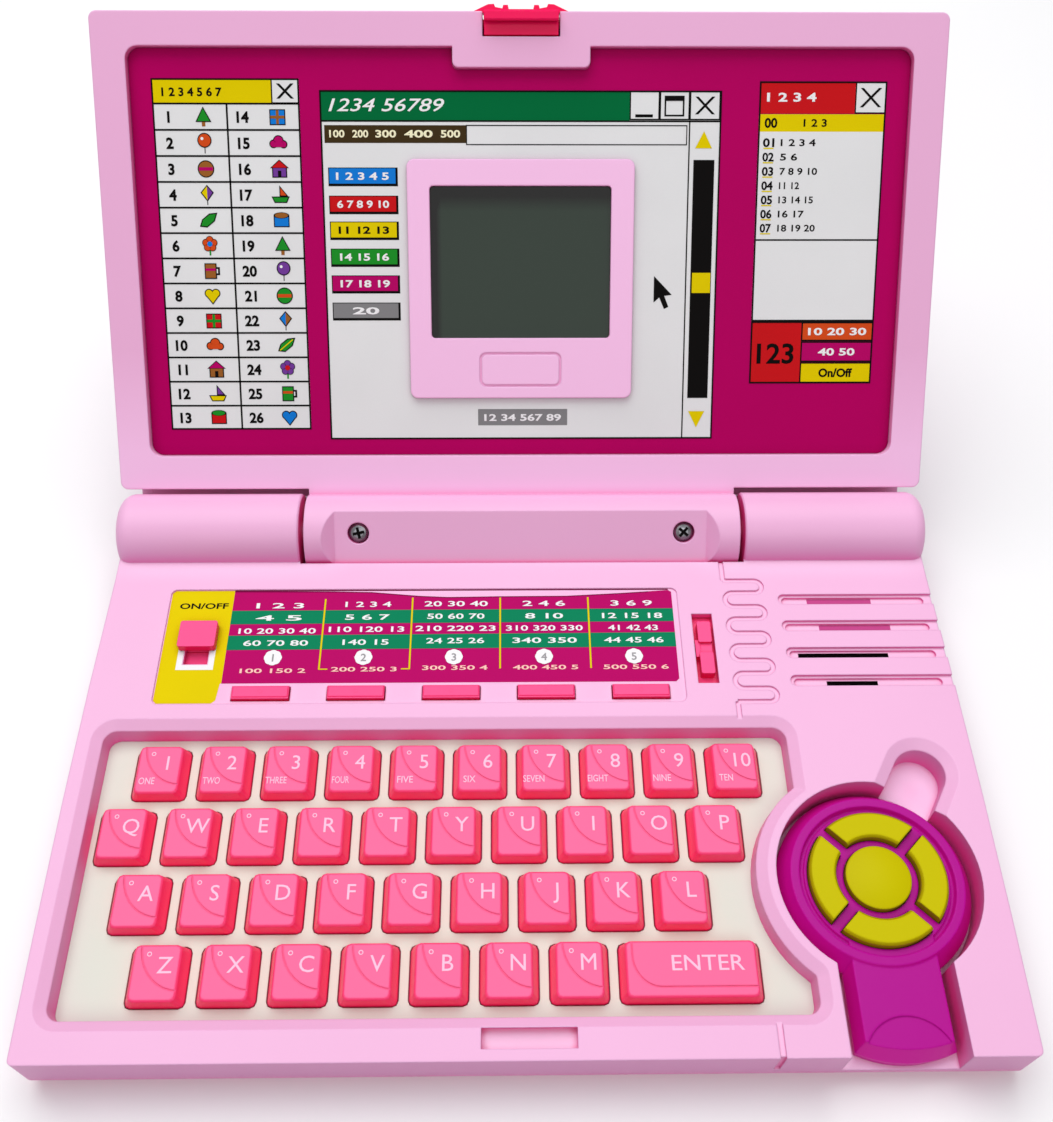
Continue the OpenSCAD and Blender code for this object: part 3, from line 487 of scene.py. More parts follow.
# Key sides painted redder and darker, partly painted shade, and edges a painted highlight.
keys_finish = moulded("key_pink_abs", linear(250, 98, 150), edge=0.0006, rough=0.3, edge_highlight_level=1.3,
                      upright_shading=linear(255, 44, 104))
legend_finish = moulded("legend_pale_pink", linear(255, 188, 216), edge=0.00005, rough=0.3, grain=0.03)
for row, names in enumerate(key_rows):
    y = back_row - row_pitch * row
    for place, name in enumerate(names.split()):
        dress(keys_finish, "key_" + name)
        x = enter_middle if name == "enter" else row_start[row] + key_pitch * place
        legend = Sheet("legend_" + name, deck_place, key_top, step=0.02)
        if name == "enter":
            legend.word(legend_finish, "ENTER", (x + 4.4, y + 1.6), 4.3,
                        width=19.4, weight=0.008, relief=0.13)
        else:
            legend.word(legend_finish, name.upper(), (x + 2.4, y + 2.1), 4.6, weight=0.006, relief=0.13)
            legend.ring(legend_finish, (x - 2.1, y + 4.9), 0.66, 0.26, 3)
        if row == 0:
            legend.word(legend_finish, number_names[place], (x - 2.9, y - 3.6), 2.2,
                        width=name_widths[place], weight=0.014, relief=0.1)
        legend.finish("key_" + name, "key_pink")


# The function strip: a printed sticker in the deck's recess, yellow round the power switch and
# magenta with two green bands over the five function buttons, which it numbers in white discs.


def ink(name, colour, rough=0.34, shine=0.02):
    """Print on a satin sheet: a faint screen of dots, uneven varnish, and painted shade near walls."""
    finish = Finish("ink_" + name)
    dots = finish.add("TexVoronoi", {"feature": "F1"}, {"Vector": finish.place(), "Scale": 2600.0})
    wash = finish.noise(35.0, 4.0)
    flat = finish.mix(wash, shaded(colour, 0.94), shaded(colour, 1.05))
    # Painted shade where walls stand close over the print.
    sky = finish.add("AmbientOcclusion", {"samples": 6}, {"Distance": 0.004}, out="AO")
    flat = finish.mix(((1 - sky) * 1.2 - 0.12).clamped(), flat, shaded(colour, 0.35))
    finish.set(Base_Color=finish.mix(dots * 0.14, flat, shaded(colour, 0.85)),
               Roughness=rough - 0.05 + 0.12 * wash,
               Normal=finish.add("Bump", None, {"Strength": 0.05, "Distance": 0.00005, "Height": dots}))
    finish.set(Specular_IOR_Level=shine)
    return finish


magenta = ink("magenta", linear(178, 6, 98))
band_green = ink("band_green", linear(8, 126, 86))
yellow = ink("yellow", linear(220, 198, 0))
white = ink("white", linear(236, 236, 238))
black = ink("black", linear(14, 12, 12))
faint = ink("faint_grey", linear(150, 148, 152))
peach = ink("peach", linear(255, 196, 186))
# Painted shadow along the sticker's back edge and the recess's back wall.
edge_shadow_ink = ink("sticker_edge_shadow", linear(120, 8, 66))


def scalloped(centre, radius, petals):
    """The outline of a disc with a softly waved rim."""
    points = []
    sides = petals * 6
    for k in range(sides):
        angle = 2 * math.pi * k / sides
        reach = radius * (0.94 + 0.06 * abs(math.cos(petals * angle / 2)))
        points.append((centre[0] + reach * math.cos(angle), centre[1] + reach * math.sin(angle)))
    return points


strip_face = 19.5
strip_left, strip_join, strip_right = -111.0, -91.4, 47.3
strip_top, strip_bottom, strip_foot = -23.6, -57.4, -64.2
switch_x, switch_y = (-104.3, -96.3), (-50.9, -37.0)


def yellow_end(strip):
    """Yellow round the power switch's slot, with small cut corners."""
    left, join, top, foot = strip_left, strip_join, strip_top, strip_foot
    strip.shape(yellow, [(left + 1, top), (left, top - 1), (left, foot + 1), (left + 1, foot),
                         (switch_x[0], foot), (switch_x[0], top)], 1)
    strip.shape(yellow, [(switch_x[1], top), (switch_x[1], foot), (join - 2.2, foot), (join - 1, foot + 1),
                         (join - 0.4, strip_bottom), (join, strip_bottom), (join, top)], 1)
    strip.box(yellow, switch_x, (switch_y[1], top), 1)
    strip.box(yellow, switch_x, (foot, switch_y[0]), 1)


def magenta_end(strip):
    """Magenta with its two green bands. Its back edge was laid in a slow wave, with painted shade along it
    and a painted shadow of the recess's back wall.
    """
    join, right, top, bottom = strip_join, strip_right, strip_top, strip_bottom
    wave = [(join, top - 0.2), (-60, top - 0.4), (-48, top - 0.7), (-33, top - 2.2), (-24, top - 2.7),
            (-8, top - 2.5), (14, top - 2.4), (30, top - 1.5), (40, top - 0.8)]
    strip.shape(magenta, [(join, bottom), (right - 1, bottom), (right, bottom + 1), (right, top - 1),
                          (right - 1, top - 0.3), *reversed(wave)], 1)
    # A painted shade line along the wavy back edge, then a painted shadow of the recess's back wall.
    shadow_width = 0.35
    for first, second in zip(wave, wave[1:]):
        inside = [(x, y - shadow_width) for x, y in (second, first)]
        strip.shape(edge_shadow_ink, [first, second, *inside], 2)
    strip.box(edge_shadow_ink, (join, right - 1), (top - 0.25, top + 0.15), 2)
    for start, end in (((-36.2, -31.2), (-35.7, -30.9)), ((-45.6, -40.4), (-45.0, -39.8))):
        strip.shape(band_green, [(join, start[0]), (right, end[0]), (right, end[1]), (join, start[1])], 2)


def button_rules(strip):
    """Thin yellow lines between the buttons' columns."""
    rule_foot, rule_half = -52.6, 0.26
    for x, high in ((-62.4, -26.9), (-34.9, -26.5), (-7.2, -26.6), (20.6, -26.6)):
        strip.box(yellow, (x - rule_half, x + rule_half), (rule_foot, high), 3)
    for ends in ((-62.6, -59.8), (-37.4, -34.7)):
        strip.box(yellow, ends, (rule_foot - 0.2, rule_foot + 0.2), 4)


def button_labels(strip):
    """Four lines of numbers over each button, a numbered disc and a pale line below it."""
    labels = [("1 2 3", "4 5", "10 20 30 40", "60 70 80"),
              ("1 2 3 4", "5 6 7", "110 120 13", "140 15"),
              ("20 30 40", "50 60 70", "210 220 23", "24 25 26"),
              ("2 4 6", "8 10", "310 320 330", "340 350"),
              ("3 6 9", "12 15 18", "41 42 43", "44 45 46")]
    spans = [(15.0, 14.5, 24.0, 20.0),
             (14.5, 14.0, 23.5, 14.3),
             (20.0, 18.0, 25.0, 18.0),
             (13.5, 12.0, 24.0, 20.0),
             (13.2, 19.0, 15.6, 18.5)]
    lines = [(-29.3, -33.9, -38.7, -43.1, -53.0),
             (-28.9, -33.7, -38.2, -42.9, -52.6),
             *[(-28.8, -33.5, -38.0, -42.5, -52.2)] * 3]
    disc_start, disc_pitch, disc_y = -76.8, 27.7, -48.4
    for k in range(5):
        x = disc_start + disc_pitch * k
        for text, span, y in zip(labels[k], spans[k], lines[k]):
            strip.word(white, text, (x + 0.3, y), 2.0, 3, span, 0.018)
        strip.shape(white, scalloped((x, disc_y), 2.75, 8), 3)
        strip.word(faint, str(k + 1), (x, disc_y), 2.7, 4, weight=0.012)
        foot_line = "%d00 %d50 %d" % (k + 1, k + 1, k + 2)
        strip.word(peach, foot_line, (x + 0.4, lines[k][4]), 1.6, 3, 20.0, 0.018)


def switch_marks(strip):
    """The words at the power switch, and a white panel round the front half of its slot."""
    strip.word(black, "ON/OFF", (-100.4, -29.3), 2.1, 2, 15.2)
    panel_x, panel_y = (-106.0, -94.6), (-52.6, -44.0)
    strip.box(white, (panel_x[0], switch_x[0]), panel_y, 2)
    strip.box(white, (switch_x[1], panel_x[1]), panel_y, 2)
    strip.box(white, switch_x, (panel_y[0], switch_y[0]), 2)


strip_sheet = Sheet("function_strip_print", deck_place, strip_face)
for print_part in (yellow_end, magenta_end, button_rules, button_labels, switch_marks):
    print_part(strip_sheet)
strip_sheet.finish("base", "card_print")


# The speaker slots: dark cloth shows through the two front slots, and the two behind them have
# a deeper pink floor painted on as shade.

cloth_black = ink("speaker_cloth", linear(10, 8, 9), rough=0.9, shine=0.0)
# Painted shade on the floors of the two back slots.
slot_shade_pink = ink("slot_floor_shade", linear(206, 84, 152), rough=0.6, shine=0.0)
slot_floor = 18.1
cloth = Sheet("speaker_cloth", deck_place, slot_floor)
patches = [(slot_shade_pink, (90.5, 111.0), (-29.4, -26.9)),
           (slot_shade_pink, (93.0, 115.5), (-39.2, -36.7)),
           (cloth_black, (85.0, 113.0), (-49.2, -47.0)),
           (cloth_black, (92.4, 108.0), (-59.0, -56.9))]
for patch, x, y in patches:
    cloth.box(patch, x, y)
cloth.finish("base", "speaker_black")


# The small controls: function buttons, power switch and volume slider share the keys' pink
# plastic, a shade redder, and sit in slots of the deck. The buttons have sloping fronts, and a
# shutter plate on the power switch closes its slot from below at each end of its travel.

# Recesses painted a deeper shade, upright faces painted darker and edges a painted highlight.
control_finish = moulded("control_pink_abs", linear(246, 72, 136), linear(228, 6, 74), edge=0.0004,
                         rough=0.3, edge_highlight_level=1.4, upright_shading=linear(244, 26, 92))
dress(control_finish, "power_switch", "volume_slider", *("function_button_%d" % (k + 1) for k in range(5)))


def tapered_block(name, foot, top, z, body, place=deck_place, finish=control_finish):
    """A small moulding from one box at its foot to another at its top, with softened edges."""
    softening = 0.16
    mesh = bmesh.new()
    corners = []
    for (x, y), level in ((foot, z[0]), (top, z[1])):
        around = ((x[0], y[0]), (x[1], y[0]), (x[1], y[1]), (x[0], y[1]))
        corners.append([mesh.verts.new((*point, level)) for point in around])
    mesh.faces.new(corners[0][::-1])
    mesh.faces.new(corners[1])
    for k in range(4):
        after = (k + 1) % 4
        mesh.faces.new((corners[0][k], corners[0][after], corners[1][after], corners[1][k]))
    bmesh.ops.bevel(mesh, geom=mesh.edges[:], offset=softening, segments=2, affect="EDGES", profile=0.5)
    mesh.transform(place)
    data = bpy.data.meshes.new(name)
    mesh.to_mesh(data)
    data.materials.append(finish.material)
    block = in_scene(name, data)
    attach(block, body)


button_start, button_pitch = -87.65, 28.6
cap_foot, cap_top = 20.2, 20.9
for k in range(5):
    x = button_start + button_pitch * k
    button = "function_button_%d" % (k + 1)
    tapered_block("function_button_cap_%d" % (k + 1), ((x + 0.1, x + 17.0), (-63.1, -59.0)),
                  ((x + 0.3, x + 16.8), (-62.6, -59.15)), (cap_foot, cap_top), button)
    mark = Sheet("function_button_mark_%d" % (k + 1), deck_place, cap_top, step=0.02)
    mark.ring(control_finish, (x + 8.5, -60.8), 0.7, 0.2, 2)
    mark.finish(button, "key_pink")
shutter_x, shutter_z = (-104.7, -96.0), (16.2, 17.1)
for name, y in (("power_shutter_front", (-51.2, -44.9)), ("power_shutter_back", (-37.6, -31.4))):
    tapered_block(name, (shutter_x, y), (shutter_x, y), shutter_z, "power_switch")


# The lid's skirt: the strip that hides the hinge gap runs on to the lid's rounded ends, where
# it is a short flat piece of the same pink moulding.

skirt_y, skirt_z = (9.8, 21.0), (-19.4, -17.3)
for name, x in (("lid_skirt_end_left", (-129.4, -125.3)), ("lid_skirt_end_right", (125.3, 129.4))):
    tapered_block(name, (x, skirt_y), (x, skirt_y), skirt_z, "lid", lid_place, case_finish)


# The mouse: two halves of a purple ABS shell that lie loose in their bay, with four arrow pads on
# one yellow-green ring round a domed button of the same colour.

# Painted shading on upright faces, lighter on the shell and darker on the pads, and a painted highlight on
# edges.
mouse_finish = moulded("mouse_purple_abs", linear(174, 2, 140), edge=0.0008, rough=0.34, edge_highlight_level=1.5,
                       shine=0.12, upright_shading=linear(204, 12, 150), upright_shading_power=2.0)
pad_finish = moulded("pad_lime_abs", linear(194, 184, 0), edge=0.0008, rough=0.36, edge_highlight_level=1.2,
                     shine=0.05, upright_shading=linear(150, 128, 0))
dress(mouse_finish, "mouse_top_shell", "mouse_bottom_shell")
dress(pad_finish, "mouse_arrow_ring", "mouse_centre_button")


# The latch: a springy hook in a clear hot pink that turns on a pin in the lid's upper edge
# and catches under the lip at the front of the base.

# Recesses in the latch are painted a deeper shade, and its edges carry a painted highlight.
latch_finish = moulded("latch_hot_pink", linear(242, 6, 88), linear(176, 0, 36), edge=0.0005, rough=0.2,
                       shine=0.12)
dress(latch_finish, "latch")


# The small screen: an unlit liquid crystal panel that lies a little way behind the window in the
# lid's raised frame.


def panel_finish():
    """Grey-green glass, dark under the window's upper and left edges, where no light reaches."""
    finish = Finish("lcd_panel")
    window_left, window_top, dim_from = -0.0272, 0.1072, 0.0700
    film = finish.noise(9.0, 2.0)
    grain = finish.noise(2200.0)
    along, across = on_the_lid(finish)
    below_edge = (1 - (window_top - along) * 220).clamped()
    beside_edge = (1 - (across - window_left) * 560).clamped()
    glass = finish.mix(film, linear(29, 45, 34), linear(38, 53, 42))
    glass = finish.mix((dim_from - along).clamped() * 12, glass, linear(20, 28, 22))
    glass = finish.mix((below_edge ** 1.2 + beside_edge).clamped(), glass, linear(4, 3, 2))
    finish.set(Base_Color=glass, Roughness=0.16 + 0.06 * grain, Specular_IOR_Level=0.2)
    return finish


dress(panel_finish(), "lcd_module")


# The screen card: a printed board set in the lid's recess, drawn like a computer's windows. The
# windows hold plain numbers, bars and simple coloured figures. It has a satin varnish.

card_ground = ink("card_magenta", linear(176, 0, 92))
dress(card_ground, "screen_card")
CARD_FACE = -4.5
paper = ink("paper", linear(224, 225, 226))
title_green = ink("title_green", linear(0, 104, 56))
tag_blue = ink("tag_blue", linear(20, 120, 210))
tag_red = ink("tag_red", linear(196, 22, 28))
tag_green = ink("tag_green", linear(30, 140, 40))
tag_grey = ink("tag_grey", linear(128, 128, 130))
tag_orange = ink("tag_orange", linear(206, 74, 28))
bar_dark = ink("bar_dark", linear(62, 48, 26))
menu_cream = ink("menu_cream", linear(240, 236, 200))
brown = ink("brown", linear(150, 92, 40))
violet = ink("violet", linear(112, 60, 150))


def cross_box(sheet, x, y):
    """The close box of a window: white with a black rim and a black cross."""
    middle = ((x[0] + x[1]) / 2, (y[0] + y[1]) / 2)
    reach = min(x[1] - x[0], y[1] - y[0]) * 0.30
    half = 0.5
    sheet.box(paper, x, y, 2)
    sheet.frame(black, x, y, 0.4, 3)
    for side, level in ((1, 4), (-1, 3)):
        sheet.shape(black, [(middle[0] - reach - half, middle[1] - side * reach),
                            (middle[0] - reach + half, middle[1] - side * reach),
                            (middle[0] + reach + half, middle[1] + side * reach),
                            (middle[0] + reach - half, middle[1] + side * reach)], level)


class Pen:
    """Draws one small figure of the chart about its middle, in units of its size."""

    def __init__(self, sheet, middle, size):
        self.sheet = sheet
        self.middle = middle
        self.size = size

    def at(self, across, up):
        return (self.middle[0] + self.size * across, self.middle[1] + self.size * up)

    def part(self, ink, points, level):
        self.sheet.shape(ink, [self.at(*point) for point in points], level)

    def block(self, ink, across, up, level):
        low, high = self.at(across[0], up[0]), self.at(across[1], up[1])
        self.sheet.box(ink, (low[0], high[0]), (low[1], high[1]), level)

    def disc(self, ink, across, up, radius, level, sides=18):
        self.sheet.round(ink, self.at(across, up), self.size * radius, level, sides)


def ball(pen, first, second):
    pen.disc(black, 0, 0, 1.0, 3, sides=28)
    pen.disc(first, 0, 0, 0.88, 4, sides=28)
    pen.block(second, (-0.84, 0.84), (-0.2, 0.2), 5)


def house(pen, first, second):
    pen.part(black, [(-0.9, -1.0), (0.9, -1.0), (0.9, 0.1), (1.15, 0.1), (0, 1.1), (-1.15, 0.1),
                     (-0.9, 0.1)], 3)
    pen.block(first, (-0.76, 0.76), (-0.88, 0.1), 4)
    pen.part(second, [(-0.95, 0.16), (0.95, 0.16), (0, 0.96)], 5)
    pen.block(black, (-0.2, 0.2), (-0.88, -0.2), 5)


def flower(pen, first, second):
    pen.block(tag_green, (-0.1, 0.1), (-1.15, 0), 3)
    for petal in range(5):
        a = 2 * math.pi * petal / 5
        across, up = 0.5 * math.sin(a), 0.2 + 0.5 * math.cos(a)
        pen.disc(black, across, up, 0.46, 4, sides=14)
        pen.disc(first, across, up, 0.38, 5, sides=14)
    pen.disc(second, 0, 0.2, 0.32, 6, sides=14)


def tree(pen, first, second):
    pen.block(brown, (-0.2, 0.2), (-1.1, -0.4), 3)
    pen.part(black, [(-0.95, -0.6), (0.95, -0.6), (0, 1.15)], 4)
    pen.part(tag_green, [(-0.76, -0.5), (0.76, -0.5), (0, 0.92)], 5)


def parcel(pen, first, second):
    pen.block(black, (-0.95, 0.95), (-0.95, 0.85), 3)
    pen.block(first, (-0.83, 0.83), (-0.83, 0.73), 4)
    pen.block(second, (-0.16, 0.16), (-0.83, 0.73), 5)
    pen.block(second, (-0.83, 0.83), (-0.2, 0.12), 6)


def kite(pen, first, second):
    pen.part(black, [(-0.8, 0.25), (0, -0.8), (0.8, 0.25), (0, 1.15)], 3)
    pen.part(first, [(-0.64, 0.25), (0, -0.6), (0, 0.98)], 4)
    pen.part(second, [(0.64, 0.25), (0, 0.98), (0, -0.6)], 4)
    pen.block(black, (-0.05, 0.05), (-1.2, -0.7), 3)


def boat(pen, first, second):
    pen.part(black, [(-0.75, -0.95), (0.75, -0.95), (1.1, -0.2), (-1.1, -0.2)], 3)
    pen.part(first, [(-0.66, -0.83), (0.66, -0.83), (0.92, -0.32), (-0.92, -0.32)], 4)
    pen.part(black, [(-0.12, -0.2), (0.95, -0.2), (-0.12, 1.1)], 3)
    pen.part(second, [(0.0, -0.08), (0.72, -0.08), (0.0, 0.82)], 4)


def mug(pen, first, second):
    pen.block(black, (0.5, 1.05), (-0.5, 0.45), 3)
    pen.block(paper, (0.5, 0.82), (-0.28, 0.22), 4)
    pen.block(black, (-0.8, 0.66), (-0.95, 0.9), 5)
    pen.block(first, (-0.68, 0.54), (-0.83, 0.78), 6)
    pen.block(second, (-0.68, 0.54), (0.0, 0.3), 7)


def balloon(pen, first, second):
    pen.block(black, (-0.04, 0.06), (-1.2, -0.5), 3)
    pen.disc(black, 0, 0.3, 0.85, 4, sides=28)
    pen.disc(first, 0, 0.3, 0.73, 5, sides=28)
    pen.disc(white, -0.28, 0.5, 0.18, 6, sides=12)


def cloud(pen, first, second):
    for across, up, radius in ((-0.6, -0.1, 0.5), (0.6, -0.15, 0.48), (0.0, 0.25, 0.65)):
        pen.disc(black, across, up, radius, 3)
        pen.disc(first, across, up, radius - 0.12, 4)
    pen.block(first, (-0.6, 0.6), (-0.48, 0.1), 5)


def leaf(pen, first, second):
    pen.part(black, [(-1.1, -0.75), (-0.2, -0.85), (0.75, -0.1), (1.1, 0.9), (0.1, 0.8), (-0.8, 0.1)], 3)
    pen.part(tag_green, [(-0.9, -0.62), (-0.2, -0.7), (0.62, -0.04), (0.92, 0.74), (0.16, 0.66),
                         (-0.66, 0.06)], 4)
    pen.part(second, [(-0.9, -0.62), (-0.78, -0.68), (0.82, 0.62), (0.74, 0.72)], 5)


def drum(pen, first, second):
    pen.block(black, (-0.95, 0.95), (-0.8, 0.6), 3)
    pen.block(first, (-0.83, 0.83), (-0.68, 0.48), 4)
    turns = [2 * math.pi * k / 16 for k in range(16)]
    for skin, wide, level in ((black, 0.95, 5), (second, 0.8, 6)):
        pen.part(skin, [(wide * math.cos(a), 0.58 + 0.38 * wide * math.sin(a)) for a in turns], level)


def heart(pen, first, second):
    for lobe in (-0.42, 0.42):
        pen.disc(black, lobe, 0.3, 0.55, 3)
    pen.part(black, [(-0.93, 0.12), (0.93, 0.12), (0, -1.05)], 3)
    for lobe in (-0.42, 0.42):
        pen.disc(first, lobe, 0.3, 0.43, 4)
    pen.part(first, [(-0.8, 0.16), (0, 0.3), (0.8, 0.16), (0, -0.86)], 5)


figures = (ball, house, flower, tree, parcel, kite, boat, mug, balloon, cloud, leaf, drum, heart)


def number_chart(sheet):
    """Two columns of boxes, each with its number and one of the figures."""
    left, split, right = -114.5, -91.5, -68.9
    top, title_foot, row_height, rows = 142.3, 134.9, 7.777, 13
    close_left = right - 8.7
    foot = title_foot - rows * row_height
    rule_half, figure_size = 0.27, 2.6
    sheet.box(paper, (left, right), (foot, top), 1)
    sheet.box(yellow, (left, close_left), (title_foot, top), 2)
    cross_box(sheet, (close_left, right), (title_foot, top))
    sheet.frame(black, (left, right), (foot, top), 0.5, 3)
    sheet.box(black, (split - 0.28, split + 0.28), (foot, title_foot), 3)
    for k in range(rows):
        line = title_foot - row_height * k
        sheet.box(black, (left, right), (line - rule_half, line + rule_half), 3)
    sheet.word(black, "1 2 3 4 5 6 7", (left + 12.4, 138.4), 2.5, 3, 18.6, 0.03)
    colours = [tag_red, tag_blue, yellow, tag_green, brown, violet, tag_orange, magenta]
    for k in range(2 * rows):
        column, row = divmod(k, rows)
        x = (left, split)[column]
        y = title_foot - row_height * row - 3.87
        first, second = (colours[(5 * k + row + shift) % len(colours)] for shift in (0, 3))
        sheet.word(black, str(k + 1), (x + 4.8, y), 3.3, 3, weight=0.035)
        draw = figures[(5 * k + 3 + column) % len(figures)]
        draw(Pen(sheet, (x + 15.6, y), figure_size), first, second)


window_left, window_right, window_low, window_high = -62.7, 62.6, 30.5, 138.9
bar_foot = 130.1


def title_bar(sheet):
    """A green bar with a number, and the boxes that close the window or change its size."""
    title_end, box_width = 33.8, 9.4
    box_y = (bar_foot + 0.1, window_high)
    sheet.box(title_green, (window_left, title_end), (bar_foot, window_high), 2)
    sheet.word(white, "1234 56789", (window_left + 20.7, 134.7), 3.9, 3, 36.0, 0.008, lean=0.25)
    for x in (title_end, title_end + box_width):
        sheet.box(paper, (x, x + box_width), box_y, 2)
        sheet.frame(black, (x, x + box_width), box_y, 0.4, 3)
    sheet.box(black, (35.6, 41.1), (131.0, 131.9), 3)
    sheet.frame(black, (44.7, 50.9), (131.3, 137.4), 0.5, 4)
    sheet.box(black, (44.7, 50.9), (135.9, 137.4), 5)
    cross_box(sheet, (52.6, 62.2), box_y)


def menu_bar(sheet):
    """A dark bar with five numbers, and an empty field beside it."""
    menu_end = -17.3
    sheet.box(bar_dark, (-61.5, menu_end), (123.3, 128.6), 2)
    menu = ((-60.0, -55.2), (-52.8, -47.8), (-45.6, -39.1), (-36.6, -27.7), (-25.2, -19.1))
    for k, (start, end) in enumerate(menu):
        sheet.word(menu_cream, str(100 * (k + 1)), ((start + end) / 2, 126.1), 2.2, 3, end - start, 0.03)
    sheet.frame(black, (menu_end, 52.0), (122.7, 128.7), 0.3, 3)


def tag_column(sheet):
    """Six coloured tags with dark shadows, one under the other."""
    tags = [(tag_blue, 115.8, "1 2 3 4 5", 16.6),
            (tag_red, 107.3, "6 7 8 9 10", 16.4),
            (yellow, 99.4, "11 12 13", 16.0),
            (tag_green, 91.1, "14 15 16", 15.6),
            (magenta, 82.8, "17 18 19", 15.8),
            (tag_grey, 74.3, "20", 8.6)]
    for colour, y, digits, span in tags:
        sheet.box(black, (-60.7, -38.9), (y - 5.5, y + 0.15), 2)
        sheet.box(colour, (-60.4, -39.6), (y - 4.7, y - 0.1), 3)
        sheet.word(black if colour is yellow else white, digits, (-50.0, y - 2.4), 2.2, 4, span, 0.03)


def scroll_bar(sheet):
    """A black track with its yellow slider, and a yellow arrow at each end."""
    sheet.box(black, (52.5, 52.9), (window_low, 129.7), 3)
    sheet.box(black, (54.2, 60.8), (43.8, 118.3), 3)
    sheet.box(yellow, (54.7, 60.6), (77.4, 83.7), 4)
    for base, tip in ((121.8, 126.9), (39.5, 34.2)):
        sheet.shape(yellow, [(54.6, base), (59.9, base), (57.3, tip)], 3)


def main_window(sheet):
    """The large window round the small screen."""
    across, up = (window_left, window_right), (window_low, window_high)
    sheet.around(paper, across, up, (-35.5, 35.1), (44.5, 117.9), 1)
    title_bar(sheet)
    sheet.frame(black, across, up, 0.5, 4)
    sheet.box(black, across, (bar_foot - 0.5, bar_foot), 3)
    menu_bar(sheet)
    tag_column(sheet)
    scroll_bar(sheet)
    sheet.box(tag_grey, (-14.3, 14.9), (35.0, 40.3), 2)
    sheet.word(white, "12 34 567 89", (0.3, 37.6), 2.2, 3, 25.2, 0.03)
    pointer = [(42.5, 82.7), (42.5, 74.4), (44.3, 76.0), (45.9, 72.4), (47.3, 73.0), (45.9, 76.5),
               (48.3, 76.8)]
    sheet.shape(black, pointer, 3)


side_left, side_right = 74.3, 114.1
list_foot = 68.4


def number_list(sheet):
    """The narrow window on the right: its title, a yellow heading and seven numbered lines."""
    left, right = side_left, side_right
    top, title_foot, list_top, close_left = 141.7, 132.2, 126.8, 104.3
    sheet.box(tag_red, (left, close_left), (title_foot, top), 2)
    sheet.word(white, "1 2 3 4", (left + 10.1, 137.1), 2.6, 3, 15.5, 0.03)
    cross_box(sheet, (close_left, right), (title_foot, top))
    sheet.box(yellow, (left, right), (list_top, title_foot - 0.2), 2)
    sheet.word(black, "00", (left + 3.9, 129.5), 2.9, 3, weight=0.03)
    sheet.word(black, "1 2 3", (left + 17.8, 129.5), 2.3, 3, 7.3, 0.02)
    sheet.box(paper, (left, right), (list_foot, list_top), 2)
    sheet.box(black, (left, right), (93.65, 94.15), 3)
    lists = [("1 2 3 4", 11.0), ("5 6", 5.4), ("7 8 9 10", 11.9), ("11 12", 6.4), ("13 14 15", 11.0),
             ("16 17", 8.3), ("18 19 20", 12.0)]
    first_line, line_pitch = 123.6, 4.33
    for k, (digits, span) in enumerate(lists):
        y = first_line - line_pitch * k
        sheet.word(black, "%02d" % (k + 1), (left + 3.4, y), 2.6, 3, 3.6, 0.03)
        sheet.word(black, digits, (left + 7.2 + span / 2, y), 2.1, 3, span, 0.02)
        sheet.box(yellow, (left + 1.8, left + 5.0), (y - 2.0, y - 1.6), 3)
    sheet.frame(black, (left, right), (list_foot, top), 0.5, 4)


def colour_fields(sheet):
    """A red field and three smaller ones beside it, below the list."""
    foot, fields_left, fields_middle = 48.5, 90.7, 102.4
    sheet.box(tag_red, (side_left, fields_left), (foot, 68.1), 2)
    sheet.word(black, "123", (82.5, 58.3), 6.5, 3, 12.0, 0.02)
    for colour, low, high in ((tag_orange, 62.1, 68.2), (magenta, 55.4, 62.0), (yellow, 48.6, 55.3)):
        sheet.box(colour, (fields_left + 0.1, side_right), (low, high), 2)
        sheet.frame(black, (fields_left, side_right), (low, high), 0.45, 3)
    sheet.word(white, "10 20 30", (fields_middle, 65.2), 2.3, 3, 19.0, 0.03)
    sheet.word(white, "40 50", (fields_middle, 58.7), 2.3, 3, 12.0, 0.03)
    sheet.word(black, "On/Off", (fields_middle, 52.0), 2.7, 3, 11.0, 0.035)
    sheet.frame(black, (side_left, side_right), (foot, list_foot), 0.5, 4)


card_sheet = Sheet("screen_card_print", lid_place, CARD_FACE)
for window in (number_chart, main_window, number_list, colour_fields):
    window(card_sheet)
card_sheet.finish("lid", "card_print")


# The screws: cross-recessed pan heads in dark steel, two in the hinge barrel's counterbores and
# five under the base, four for the shells and one for the battery door.


def steel():
    finish = Finish("screw_steel")
    smear = finish.noise(420.0, 4.0)
    finish.set(Base_Color=finish.mix(smear, linear(70, 70, 74), linear(190, 190, 196)),
               Roughness=0.18 + 0.22 * smear,
               Normal=finish.add("Bump", None, {"Strength": 0.25, "Distance": 0.0001, "Height": smear}))
    finish.set(Metallic=0.9)
    return finish


steel_finish = steel()


def pan_head(name, radius):
    """A pan head with a rounded rim, spun from its profile."""
    head = bmesh.new()
    profile = [(0.0, 0.62), (0.45, 0.60), (0.74, 0.50), (0.92, 0.34), (1.0, 0.12), (1.0, 0.0), (0.0, 0.0)]
    points = [head.verts.new((r * radius, 0, z * radius)) for r, z in profile]
    edges = [head.edges.new(pair) for pair in zip(points, points[1:])]
    bmesh.ops.spin(head, geom=points + edges, cent=(0, 0, 0), axis=(0, 0, 1), angle=2 * math.pi, steps=40,
                   use_duplicate=False)
    bmesh.ops.remove_doubles(head, verts=head.verts, dist=1e-5)
    bmesh.ops.recalc_face_normals(head, faces=head.faces)
    data = bpy.data.meshes.new(name)
    head.to_mesh(data)
    head.free()
    return data


